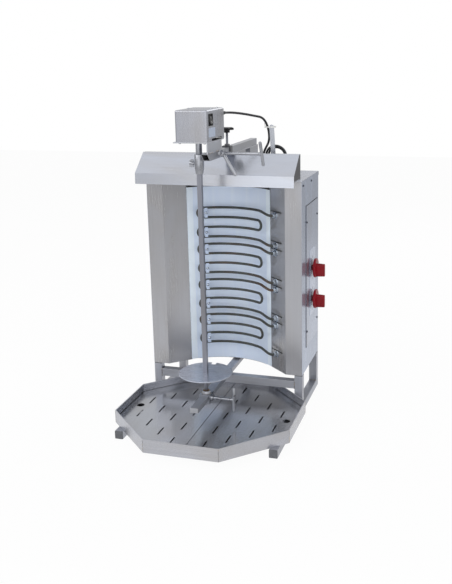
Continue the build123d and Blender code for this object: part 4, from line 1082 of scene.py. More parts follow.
@dataclass
class Cabinet:
    """Side frames, cabinet sheets, hood and roof, with their screws and welds."""

    screws: ScrewSet
    tube: float = 25 * MM
    frame_x: float = 237.5 * MM
    rear_leg_y: float = 215 * MM
    half_width: float = 250 * MM
    door_face: float = 251.5 * MM
    screw_ys: tuple[float, float] = (51.5 * MM, 204.5 * MM)
    screw_zs: tuple[float, float] = (251 * MM, 604 * MM)
    roof_screw_ys: tuple[float, float] = (9.1 * MM, 121.5 * MM)
    roof_screw_z: float = 724 * MM
    screw_turn: float = 0.7
    back_inset: float = 14 * MM
    back_screw_inset: float = 10 * MM
    back_screw_rows: int = 5
    back_screw_turn: float = 0.9
    rail_bead: float = 1.5 * MM
    leg_bead: float = 1.6 * MM
    # Width and thickness of the dark strip that paints the shadow in the gap round the door.
    seal_width: float = 1.8 * MM
    seal_thickness: float = 0.7 * MM
    finger_count: int = 12
    finger_inner: float = 5.2 * MM
    finger_length: float = 2.6 * MM

    def dress(self) -> None:
        """Finish the cabinet's solids."""
        for node in ("left_side_frame", "right_side_frame"):
            dress_node(node, FRAME_STEEL, 0.8 * MM)
        for node in ("cross_rails", "floor_tie"):
            dress_node(node, CROSS_STEEL, 0.8 * MM)
        dress_node("left_side_panel", COLUMN_STEEL)
        dress_node("right_side_panel", COLUMN_STEEL)
        dress_node("service_door", SIDE_STEEL)
        dress_node("roof_panel", ROOF_STEEL)
        dress_node("back_panel", SIDE_STEEL)
        dress_node("floor_panel", CROSS_STEEL)
        dress_node("hood", HOOD_STEEL)
        # The end plates' dark colour is painted shade.
        dress_node("hood_end_plates", END_STEEL_PAINTED_SHADE)
        dress_node("plugs_and_pads", PAD_RUBBER, 0.6 * MM)
        dress_node("mains_gland", BLACK_PLASTIC, 0.5 * MM)
        dress_node("wiring_shield", CROSS_STEEL)
        dress_node("terminal_block", WHITE_NYLON, 0.4 * MM)
        dress_node("insulation_blanket", WOOL)

    def add_panel_screws(self) -> bpy.types.Object:
        """Make the screws of the door and of the roof's flanges.

        Returns:
            The piece.
        """
        seats = [(Vector((self.door_face, y, z)), RIGHTWARD) for y in self.screw_ys for z in self.screw_zs]
        seats += [
            (Vector((side * self.half_width, y, self.roof_screw_z)), RIGHTWARD * side)
            for y in self.roof_screw_ys for side in (-1, 1)
        ]
        maker = bmesh.new()
        for i, (place, outward) in enumerate(seats):
            self.screws.add(maker, place, outward, i * self.screw_turn)
        piece = finished_piece("panel_screw_heads", maker, DARK_SCREW, "cabinet")
        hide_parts("panel_screws")
        return piece

    def add_back_screws(self) -> bpy.types.Object:
        """Make the screws along the rear panel's edges.

        Returns:
            The piece.
        """
        low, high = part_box("back_panel")
        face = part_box("right_side_panel")[1].y
        span = high.z - low.z - 2 * self.back_inset
        maker = bmesh.new()
        for row in range(self.back_screw_rows):
            z = low.z + self.back_inset + span * row / (self.back_screw_rows - 1)
            for x in (low.x + self.back_screw_inset, high.x - self.back_screw_inset):
                self.screws.add(maker, Vector((x, face, z)), REARWARD, row * self.back_screw_turn)
        return finished_piece("back_panel_screws", maker, SCREW_STEEL, "cabinet")

    def add_frame_welds(self) -> bpy.types.Object:
        """Lay the welds between legs, rails and cross rails.

        Returns:
            The piece.
        """
        half = self.tube / 2
        bottom, top = (corner.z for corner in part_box("cross_rails"))
        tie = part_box("floor_tie")[1].z
        maker = bmesh.new()
        for side in (-1, 1):
            x = side * (self.frame_x - half)
            for y in (0.0, self.rear_leg_y):
                for z in (bottom, top):
                    add_bead(maker, Vector((x, y - half, z)), Vector((x, y + half, z)), self.rail_bead)
                for edge in (y - half, y + half):
                    add_bead(maker, Vector((x, edge, bottom)), Vector((x, edge, top)), self.rail_bead)
                    foot = Vector((side * self.frame_x, edge, self.tube))
                    add_bead(maker, foot - RIGHTWARD * half, foot + RIGHTWARD * half, self.leg_bead)
            add_bead(maker, Vector((x, -half, tie)), Vector((x, half, tie)), self.rail_bead)
        return finished_piece("frame_welds", maker, WELD, "cabinet")

    def add_door_seal(self) -> bpy.types.Object:
        """Make the thin dark strip round the service door that paints the shadow in the gap round it.

        Returns:
            The piece.
        """
        low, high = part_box("service_door")
        wide = self.seal_width
        rise, reach = UPWARD * wide, REARWARD * wide
        depth = RIGHTWARD * self.seal_thickness
        maker = bmesh.new()
        for z in (low.z - wide, high.z):
            start = Vector((self.half_width, low.y - wide, z))
            end = Vector((self.half_width, high.y + wide, z))
            add_prism(maker, [start, end, end + rise, start + rise], depth)
        for y in (low.y - wide, high.y):
            start = Vector((self.half_width, y, low.z))
            end = Vector((self.half_width, y, high.z))
            add_prism(maker, [start, start + reach, end + reach, end], depth)
        return finished_piece("door_gap_shadow", maker, BLACK_RUBBER, "cabinet", 0.2 * MM)

    def add_gland_fingers(self) -> bpy.types.Object:
        """Make the clamping fingers inside the mains gland's dome.

        Returns:
            The piece.
        """
        low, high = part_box("mains_gland")
        centre = (low + high) / 2
        centre.y = high.y - 1.5 * MM
        maker = bmesh.new()
        for i in range(self.finger_count):
            turn = tau * i / self.finger_count
            spoke = Vector((cos(turn), 0, sin(turn)))
            side = Vector((-sin(turn), 0, cos(turn)))
            foot = centre + spoke * self.finger_inner
            tip = foot + spoke * self.finger_length
            narrow, wide = side * 1.1 * MM, side * 1.5 * MM
            add_prism(maker, [foot - narrow, foot + narrow, tip + wide, tip - wide], REARWARD * 1.4 * MM)
        return finished_piece("gland_fingers", maker, BLACK_PLASTIC, "cabinet", 0.2 * MM)

    def build(self) -> None:
        """Dress the cabinet and add its screws and welds."""
        self.dress()
        self.add_panel_screws()
        self.add_back_screws()
        self.add_frame_welds()
        self.add_door_seal()
        self.add_gland_fingers()


@dataclass
class HeatingWall:
    """Reflector, elements, their nuts and clips."""

    first_line: float = 188 * MM
    line_pitch: float = 31.5 * MM
    element_pitch: float = 118.5 * MM
    element_count: int = 4
    terminal_drop: float = 10 * MM
    terminal_x: float = 159 * MM
    column_x: float = 197.5 * MM
    alcove_x: float = 137 * MM
    alcove_flare: float = 55 * MM
    nut_height: float = 9 * MM
    rod_radius: float = 4 * MM
    washer_radius: float = 11 * MM
    washer_bore: float = 7 * MM
    collar_radius: float = 5.6 * MM
    # Size of the dark strips that paint the shadow above each rod's nut.
    slot_length: float = 62 * MM
    slot_rise: tuple[float, float] = (9.5 * MM, 13.5 * MM)
    slot_thickness: float = 0.25 * MM
    arc_radius: float = 168 * MM
    arc_centre_y: float = -94 * MM
    clip_x: float = 79 * MM
    clip_face: float = 5.5 * MM
    clip_lines: tuple[float, float] = (0.5, 2.5)
    # Radius and height of the dome nuts, in millimetres.
    clip_dome: tuple[tuple[float, float], ...] = (
        (4.4, 0.0), (4.4, 1.6), (3.9, 2.4), (2.6, 4.2), (1.2, 5.0),
    )
    reflector_sheet: float = 1 * MM
    reflector_centre_y: float = -114.5 * MM
    # Heights, thickness and steps of the dark strip that paints the shadow along the reflector's top.
    seal_rise: tuple[float, float] = (703.5 * MM, 716 * MM)
    seal_thickness: float = 1.6 * MM
    seal_steps: int = 32

    def dress(self) -> None:
        """Finish the reflector and its elements."""
        dress_node("reflector", REFLECTOR_FILM)
        for i in range(self.element_count):
            dress_node(f"heating_element_{i + 1}", SHEATH)
        dress_node("element_nuts", NUT_STEEL, 0.6 * MM)
        dress_node("element_clips", CLIP_STEEL)

    def terminals(self) -> tuple[list[Vector], Vector]:
        """Find where the rods enter the slanted face.

        Returns:
            The places, and the direction out of the face.
        """
        flare = atan2(self.alcove_flare, self.column_x - self.alcove_x)
        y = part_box("right_side_panel")[0].y + (self.column_x - self.terminal_x) * tan(flare)
        heights = [
            self.first_line + self.element_pitch * i + self.line_pitch * line - self.terminal_drop
            for i in range(self.element_count) for line in (0, 3)
        ]
        outward = Vector((-sin(flare), -cos(flare), 0))
        return [Vector((self.terminal_x, y, z)) for z in heights], outward

    def add_washers(self) -> bpy.types.Object:
        """Make the washers and collars round the rods' ends.

        Returns:
            The piece.
        """
        places, outward = self.terminals()
        rim, collar = self.washer_radius, self.collar_radius
        washer_profile = [(rim, 0.0), (rim, 1.0 * MM), (rim - 0.5 * MM, 1.4 * MM)]
        collar_profile = [(collar, 0.0), (collar, 3.0 * MM), (collar - 0.8 * MM, 3.6 * MM)]
        maker = bmesh.new()
        for place in places:
            add_sleeve(maker, place, outward, washer_profile, self.washer_bore)
            foot = place + outward * (self.nut_height - 1 * MM)
            add_sleeve(maker, foot, outward, collar_profile, self.rod_radius)
        return finished_piece("element_washers", maker, NUT_STEEL, "cabinet")

    def add_slots(self) -> bpy.types.Object:
        """Make the dark strips that paint the shadow at the slots that the rods' ends were passed through.

        Returns:
            The piece.
        """
        places, outward = self.terminals()
        inner_way = Vector((outward.y, -outward.x, 0))
        maker = bmesh.new()
        for place in places:
            foot = place + inner_way * (self.terminal_x - self.alcove_x - 1 * MM) / abs(inner_way.x)
            low, high = (foot + UPWARD * rise for rise in self.slot_rise)
            reach = inner_way * -self.slot_length
            add_prism(maker, [low, low + reach, high + reach, high], outward * self.slot_thickness)
        return finished_piece("rod_slot_painted_shadows", maker, BLACK_RUBBER, "cabinet")

    def add_clip_nuts(self) -> bpy.types.Object:
        """Make the small dome nuts on the studs of the clips.

        Returns:
            The piece.
        """
        turn = asin(self.clip_x / self.arc_radius)
        outward = Vector((sin(turn), -cos(turn), 0))
        middle = Vector((0, self.arc_centre_y, 0)) - outward * self.arc_radius
        dome = [(wide * MM, high * MM) for wide, high in self.clip_dome]
        maker = bmesh.new()
        for i in range(self.element_count):
            for line in self.clip_lines:
                z = self.first_line + self.element_pitch * i + self.line_pitch * line
                add_lathe(maker, middle + outward * self.clip_face + UPWARD * z, outward, dome)
        return finished_piece("clip_nuts", maker, NUT_STEEL, "cabinet")

    def add_top_seal(self) -> bpy.types.Object:
        """Make the dark strip along the top of the reflector, behind the hood's lip, that paints the shadow
        in the gap under the lip.

        Returns:
            The piece.
        """
        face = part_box("reflector")[1].y - self.reflector_sheet - self.reflector_centre_y
        half_turn = asin(self.alcove_x / face)
        centre = Vector((0, self.reflector_centre_y, 0))
        low, high = (UPWARD * rise for rise in self.seal_rise)
        rings = []
        for i in range(self.seal_steps + 1):
            turn = half_turn * (2 * i / self.seal_steps - 1)
            way = Vector((sin(turn), cos(turn), 0))
            near, far = (centre + way * radius for radius in (face - self.seal_thickness, face))
            rings.append([near + low, far + low, far + high, near + high])
        maker = bmesh.new()
        add_rings(maker, rings)
        return finished_piece("reflector_top_gap_shadow", maker, BLACK_RUBBER, "cabinet")

    def build(self) -> None:
        """Dress the wall and add its washers and nuts, and dark strips of painted shadow at the slots and
        along the reflector's top.
        """
        self.dress()
        self.add_washers()
        self.add_slots()
        self.add_clip_nuts()
        self.add_top_seal()


@dataclass
class Controls:
    """Door side: control plate, its numbers, and the two knobs."""

    plate_face: float = 252 * MM
    knob_y: float = 133.5 * MM
    knob_zs: tuple[float, float] = (337 * MM, 440 * MM)
    dial_radius: float = 36.2 * MM
    tick_inner: float = 32 * MM
    tick_outer: float = 33.4 * MM
    figure_height: float = 6.2 * MM
    positions: int = 7
    dial_sweep: float = radians(270)
    ink: float = 0.12 * MM
    tick_half: float = 0.4 * MM
    index_half: float = 0.9 * MM
    grip_start: float = 268 * MM
    grip_end: float = 289 * MM
    grip_reach: float = 15 * MM
    grip_taper: float = radians(3)
    disc_face: float = 266 * MM
    pointer_end: float = 28 * MM

    def dress(self) -> None:
        """Finish the control plate, the knobs and the switches behind them."""
        dress_node("control_plate", PLATE_FILM)
        dress_node("upper_knob", CRIMSON)
        dress_node("lower_knob", CRIMSON)
        dress_node("heat_switches", BLACK_PLASTIC, 0.4 * MM)

    def on_dial(self, z: float, turn: float, radius: float) -> Vector:
        """Find a point on the dial at height z, turned clockwise from its top, in radians."""
        return Vector((self.plate_face, self.knob_y + radius * sin(turn), z + radius * cos(turn)))

    def add_figures(self) -> bpy.types.Object:
        """Print the figures and ticks round both knobs.

        Returns:
            The piece.
        """
        maker = bmesh.new()
        for z in self.knob_zs:
            for i in range(self.positions):
                turn = self.dial_sweep * i / (self.positions - 1)
                middle = self.on_dial(z, turn, self.dial_radius)
                figure = text_mesh(str(i), self.figure_height, self.ink)
                add_mesh(maker, figure, facing(middle, REARWARD, UPWARD))
                bpy.data.meshes.remove(figure)
                inner, outer = (self.on_dial(z, turn, r) for r in (self.tick_inner, self.tick_outer))
                side = (outer - inner).normalized().cross(RIGHTWARD) * self.tick_half
                add_strip(maker, inner, outer, side, RIGHTWARD * self.ink)
        return finished_piece("dial_figures", maker, DIAL_INK, "cabinet")

    def add_index(self, name: str, z: float) -> bpy.types.Object:
        """Make the index line on a knob's grip and disc.

        Args:
            name: Body of the knob.
            z: Height of the knob's middle.

        Returns:
            The piece.
        """
        side = REARWARD * self.index_half
        top = z + self.grip_reach
        drop = (self.grip_end - self.disc_face) * tan(self.grip_taper)
        maker = bmesh.new()
        start = Vector((self.grip_start, self.knob_y, top))
        end = Vector((self.grip_end, self.knob_y, top - drop))
        add_strip(maker, start, end, side, UPWARD * 0.25 * MM)
        start = Vector((self.disc_face, self.knob_y, top))
        end = Vector((self.disc_face, self.knob_y, z + self.pointer_end))
        add_strip(maker, start, end, side, RIGHTWARD * 0.2 * MM)
        return finished_piece(f"{name}_index", maker, MARK_INK, name)

    def build(self) -> None:
        """Dress the controls and add their marks."""
        self.dress()
        self.add_figures()
        for name, z in zip(("lower_heat_knob", "upper_heat_knob"), self.knob_zs):
            self.add_index(name, z)


def text_mesh(words: str, height: float, depth: float) -> bpy.types.Mesh:
    """Make figures as a solid mesh, centred and standing on the XY plane.

    Args:
        words: The figures.
        height: Their height.
        depth: Their thickness.

    Returns:
        The mesh.
    """
    curve = bpy.data.curves.new("figures", "FONT")
    curve.body = words
    curve.size = height / FIGURE_SHARE
    curve.align_x = "CENTER"
    curve.align_y = "CENTER"
    curve.extrude = depth
    curve.offset = height * 0.02
    curve.resolution_u = 3
    mesh = final_mesh(put_in_scene("figures", curve))
    bpy.data.curves.remove(curve)
    return mesh


@dataclass
class DripTray:
    """Octagonal tray and its two slotted plates."""

    cut: float = 160 * MM
    sheet: float = 1.5 * MM
    weld_inset: float = 1 * MM
    bead: float = 1 * MM

    def dress(self) -> None:
        """Finish the tray and the plates."""
        dress_node("drip_tray", TRAY_STEEL, 0.45 * MM)
        dress_node("drip_plate_left", PLATE_STEEL)
        dress_node("drip_plate_right", PLATE_STEEL)

    def corners(self) -> list[tuple[float, float]]:
        """Find the tray's eight corners.

        Returns:
            Their places in the tray's plan, going round.
        """
        low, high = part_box("drip_tray")
        return [
            (high.x, high.y - self.cut), (high.x - self.cut, high.y),
            (low.x + self.cut, high.y), (low.x, high.y - self.cut),
            (low.x, low.y + self.cut), (low.x + self.cut, low.y),
            (high.x - self.cut, low.y), (high.x, low.y + self.cut),
        ]

    def add_corner_welds(self) -> bpy.types.Object:
        """Lay the ground welds up the tray's corners.

        Returns:
            The piece.
        """
        low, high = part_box("drip_tray")
        middle = (low + high) / 2
        maker = bmesh.new()
        for x, y in self.corners():
            inward = Vector((middle.x - x, middle.y - y, 0)).normalized() * self.sheet * 0.45
            foot = Vector((x, y, low.z + self.weld_inset)) + inward
            add_bead(maker, foot, foot + UPWARD * (high.z - low.z - 2 * self.weld_inset), self.bead)
        return finished_piece("tray_corner_welds", maker, WELD, "tray")

    def build(self) -> None:
        """Dress the tray and add its welds."""
        self.dress()
        self.add_corner_welds()


@dataclass
class Spit:
    """Skewer, disc, chuck, drive shaft, and the carriage that carries the foot."""

    y: float = -205.5 * MM
    cap_inset: float = 0.4 * MM
    cap_thickness: float = 1.5 * MM
    hub_radius: float = 15 * MM
    hub_rim: float = 3 * MM
    cup_radius: float = 14 * MM
    bead: float = 1.2 * MM

    def dress(self) -> None:
        """Finish the spit and the pieces that hold it."""
        dress_node("skewer", SPIT_STEEL, 0.7 * MM)
        dress_node("meat_disc", DISC_STEEL, 0.5 * MM)
        dress_node("chuck", ROD_STEEL, 0.6 * MM)
        dress_node("drive_shaft", ROD_STEEL, 0.5 * MM)
        dress_node("chuck_screw", ROD_STEEL, 0.8 * MM)
        dress_node("lower_arm", FRAME_STEEL, 0.8 * MM)
        dress_node("lower_carriage", ROD_STEEL, 0.5 * MM)
        dress_node("pivot_bush", BRONZE, 0.4 * MM)

    def add_ring_weld(self, name: str, body: str, radius: float, z: float, count: int) -> bpy.types.Object:
        """Lay a weld bead round the spit's axis.

        Args:
            name: Name of the piece.
            body: Body that it rides on.
            radius: Radius of the seam.
            z: Height of the seam.
            count: Number of steps round it.

        Returns:
            The piece.
        """
        turns = [tau * i / count for i in range(count + 1)]
        line = [Vector((radius * cos(turn), self.y + radius * sin(turn), z)) for turn in turns]
        maker = bmesh.new()
        add_tube(maker, line, ripples(self.bead, count, valley=0.85, height=0.2, spacing=2), BEAD_SIDES)
        return finished_piece(name, maker, WELD, body)

    def add_arm_cap(self) -> bpy.types.Object:
        """Make the plate that closes the front end of the lower arm.

        Returns:
            The piece.
        """
        low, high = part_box("lower_arm")
        inset = self.cap_inset
        face = low.y - self.cap_thickness
        left, right, foot, top = low.x + inset, high.x - inset, low.z + inset, high.z - inset
        maker = bmesh.new()
        outline = [Vector((x, face, z)) for x, z in ((left, foot), (right, foot), (right, top), (left, top))]
        add_prism(maker, outline, REARWARD * self.cap_thickness)
        return finished_piece("lower_arm_cap", maker, CAP_STEEL, "cabinet", 0.4 * MM)

    def build(self) -> None:
        """Dress the spit and add its welds and the arm's end plate."""
        self.dress()
        self.add_arm_cap()
        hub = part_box("meat_disc")[1].z - self.hub_rim
        self.add_ring_weld("disc_hub_weld", "spit", self.hub_radius, hub, 64)
        self.add_ring_weld("cup_weld", "carriage", self.cup_radius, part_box("pivot_bush")[0].z, 56)


@dataclass
class Handles:
    """T-handles with domed ends and the slanted lock lever."""

    rod: float = 4.5 * MM
    upper_bar: float = 78 * MM
    upper_tilt: float = radians(25)
    lower_bar: float = 75 * MM

    def add_t_handle(self, node: str, body: str, bar: float, tilt: float) -> bpy.types.Object:
        """Make a T-handle in place of its plain solid.

        Args:
            node: The solid's node.
            body: Body that it rides on.
            bar: Length of the cross bar.
            tilt: Tilt of the cross bar towards the front, in radians.

        Returns:
            The piece.
        """
        low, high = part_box(node)
        centre = (low + high) / 2
        start = Vector((low.x, centre.y, centre.z))
        end = Vector((high.x - self.rod, centre.y, centre.z))
        way = Vector((0, -sin(tilt), cos(tilt)))
        maker = bmesh.new()
        add_tube(maker, [start, start.lerp(end, 0.5), end], [self.rod] * 3, 20)
        add_capsule(maker, end - way * bar / 2, end + way * bar / 2, self.rod)
        neck = end - RIGHTWARD * (self.rod * 1.35 + 2 * MM)
        collar = [(0.0, 0.0), (0.9 * MM, 1.2 * MM), (1.1 * MM, 2.4 * MM), (0.0, 4.4 * MM)]
        add_lathe(maker, neck, RIGHTWARD, [(self.rod + swell, rise) for swell, rise in collar])
        piece = finished_piece(f"{node}_bar", maker, ROD_STEEL, body)
        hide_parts(node)
        return piece

    def build(self) -> None:
        """Make both handles and finish the lever."""
        self.add_t_handle("upper_t_handle", "upper_handle", self.upper_bar, self.upper_tilt)
        self.add_t_handle("lower_t_handle", "lower_handle", self.lower_bar, 0.0)
        dress_node("lock_lever", ROD_STEEL, 0.8 * MM)


@dataclass
class ArmClamp:
    """Arm, cradle, strap, and the star screw that presses on the arm."""

    x: float = 37 * MM
    shank: float = 4 * MM
    knob_radius: float = 21.5 * MM
    knob_height: float = 7 * MM
    hub_height: float = 8 * MM
    hub_radius: float = 8.75 * MM
    lobes: int = 6
    lobe_depth: float = 0.115
    lobe_sides: int = 84
    thread_pitch: float = 1.25 * MM
    bead: float = 1.3 * MM
    pedestals: tuple[tuple[float, float], ...] = ((4.5 * MM, 79.5 * MM), (127.5 * MM, 219.5 * MM))

    def dress(self) -> None:
        """Finish the arm, its cradle and the strap."""
        dress_node("upper_arm", ARM_STEEL, 0.7 * MM)
        dress_node("arm_cradle", ARM_STEEL, 0.5 * MM)
        dress_node("clamp_strap", STRAP_STEEL, 0.5 * MM)

    def add_star_screw(self) -> None:
        """Make the threaded spindle and the lobed knob in place of their plain solid."""
        low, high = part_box("clamp_screw")
        foot = Vector((self.x, (low.y + high.y) / 2, low.z))
        knob_foot = high.z - self.knob_height
        hub_foot = knob_foot - self.hub_height
        length = hub_foot - low.z
        turns = int(length / self.thread_pitch)
        profile = [(self.shank * 0.8, 0.0)]
        for i in range(turns):
            level = length * (i + 0.5) / turns
            profile += [(self.shank, level), (self.shank * 0.88, level + length / turns / 2)]
        maker = bmesh.new()
        add_lathe(maker, foot, UPWARD, profile, 20)
        spindle = finished_piece("clamp_spindle", maker, ROD_STEEL, "arm_clamp")
        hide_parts("clamp_screw")
        wide, high = self.hub_radius, self.hub_height
        hub = [(wide * 0.92, 0.0), (wide, 0.8 * MM), (wide, high - 2 * MM), (wide * 1.15, high)]
        maker = bmesh.new()
        add_lathe(maker, Vector((foot.x, foot.y, hub_foot)), UPWARD, hub, 32)
        rings = []
        for share, rise in ((0.9, 0.0), (0.985, 0.12), (1.0, 0.4), (0.99, 0.72), (0.93, 0.93), (0.82, 1.0)):
            centre = Vector((foot.x, foot.y, knob_foot + self.knob_height * rise))
            rings.append([centre + spoke * share for spoke in self.star_outline()])
        add_rings(maker, rings)
        finished_piece("star_knob", maker, BLACK_PLASTIC, "arm_clamp")

    def star_outline(self) -> list[Vector]:
        """Draw the lobed outline of the star knob round its axis.

        Returns:
            The outline's points.
        """
        outline = []
        for i in range(self.lobe_sides):
            turn = tau * i / self.lobe_sides
            radius = self.knob_radius * (1 - self.lobe_depth + self.lobe_depth * cos(self.lobes * turn))
            outline.append(Vector((radius * cos(turn), radius * sin(turn), 0)))
        return outline

    def add_cradle_welds(self) -> bpy.types.Object:
        """Lay the welds that hold the pedestals on the roof.

        Returns:
            The piece.
        """
        low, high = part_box("arm_cradle")
        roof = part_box("roof_panel")[1].z
        maker = bmesh.new()
        for front, rear in self.pedestals:
            for x in (low.x, high.x):
                add_bead(maker, Vector((x, front, roof)), Vector((x, rear, roof)), self.bead)
            for y in (front, rear):
                add_bead(maker, Vector((low.x, y, roof)), Vector((high.x, y, roof)), self.bead)
        return finished_piece("cradle_welds", maker, WELD, "cabinet")

    def build(self) -> None:
        """Dress the arm and its clamp and add their screw and welds."""
        self.dress()
        self.add_star_screw()
        self.add_cradle_welds()


@dataclass
class MotorHead:
    """Motor cover, bracket, rocker switch and their fasteners."""

    screws: ScrewSet
    cover_right: float = 47 * MM
    cover_front: float = -262.5 * MM
    cover_length: float = 147 * MM
    patch_front: float = -252 * MM
    patch_length: float = 54 * MM
    patch_bottom: float = 889 * MM
    patch_height: float = 25 * MM
    switch_y: float = -234 * MM
    switch_z: float = 936 * MM
    screw_turn: float = 0.8
    ring_radius: float = 2.3 * MM
    ring_line: float = 0.4 * MM
    bead: float = 1.4 * MM
    web: float = 3 * MM
    seams: tuple[tuple[float, float], ...] = ((10 * MM, 32 * MM), (70 * MM, 34 * MM))

    def dress(self) -> None:
        """Finish the head's solids."""
        dress_node("motor_cover", COVER_STEEL)
        dress_node("motor_bracket", BRACKET_STEEL, 0.5 * MM)
        dress_node("gear_motor", MOTOR_PAINT, 0.5 * MM)
        dress_node("switch_housing", BLACK_PLASTIC, 0.5 * MM)
        dress_node("switch_rocker", BLACK_PLASTIC, 0.4 * MM)
        dress_node("lead_gland", BLACK_PLASTIC)

    def add_cover_screws(self) -> bpy.types.Object:
        """Make the cover's cross-headed screws and the base's hexagon bolts.

        Returns:
            The piece.
        """
        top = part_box("motor_cover")[1].z
        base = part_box("motor_bracket")[1].z - 3 * MM
        middle = self.cover_front + self.cover_length / 2
        rear = self.cover_front + self.cover_length
        right = self.cover_right - 13 * MM
        places = [(14 * MM - self.cover_right, middle), (right, rear - 24 * MM), (right, middle - 4 * MM)]
        bolt = [(3.5 * MM, 0.0), (3.5 * MM, 1.9 * MM), (3.1 * MM, 2.3 * MM)]
        maker = bmesh.new()
        for i, (x, y) in enumerate(places):
            self.screws.add(maker, Vector((x, y, top)), UPWARD, i * self.screw_turn)
        for x in (11 * MM - self.cover_right, self.cover_right - 11 * MM):
            add_lathe(maker, Vector((x, self.cover_front + 5 * MM, base)), -UPWARD, bolt, 6)
        piece = finished_piece("cover_screw_heads", maker, SCREW_STEEL, "head")
        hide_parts("cover_screws")
        return piece

    def add_blank_patch(self) -> bpy.types.Object:
        """Make the bare patch of film on the cover's right face.

        Returns:
            The piece.
        """
        maker = bmesh.new()
        corner = Vector((self.cover_right, self.patch_front, self.patch_bottom))
        add_patch(
            maker, corner, REARWARD * self.patch_length, UPWARD * self.patch_height, RIGHTWARD * 0.25 * MM,
        )
        return finished_piece("blank_patch", maker, PATCH_FILM, "head")

    def add_rocker_marks(self) -> bpy.types.Object:
        """Make the line and the ring on the rocker's two ends.

        Returns:
            The piece.
        """
        upper = Vector((self.cover_right + 1.15 * MM, self.switch_y, self.switch_z + 5.5 * MM))
        tall, wide = Vector((-0.3 * MM, 0, 2.6 * MM)), REARWARD * 0.55 * MM
        maker = bmesh.new()
        add_strip(maker, upper - tall, upper + tall, wide, RIGHTWARD * 0.2 * MM)
        lower = Vector((self.cover_right + 3.15 * MM, self.switch_y, self.switch_z - 6 * MM))
        slope = Vector((-0.236, 0, 0.972))
        line = circle(lower, REARWARD, slope, self.ring_radius, 24)
        line.append(line[0])
        add_tube(maker, line, [self.ring_line] * len(line), 6)
        return finished_piece("rocker_marks", maker, MARK_INK, "rocker")

    def add_bracket_welds(self) -> bpy.types.Object:
        """Lay the welds between the bracket's web and the arm.

        Returns:
            The piece.
        """
        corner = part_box("motor_bracket")[0]
        z = max(corner.z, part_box("upper_arm")[1].z)
        maker = bmesh.new()
        for start, length in self.seams:
            for x in (self.cover_right - self.web, self.cover_right):
                seam = Vector((x, corner.y + start, z))
                add_bead(maker, seam, seam + REARWARD * length, self.bead)
        return finished_piece("bracket_welds", maker, WELD, "head")

    def build(self) -> None:
        """Dress the head and add its fasteners, patch and marks."""
        self.dress()
        self.add_cover_screws()
        self.add_blank_patch()
        self.add_rocker_marks()
        self.add_bracket_welds()


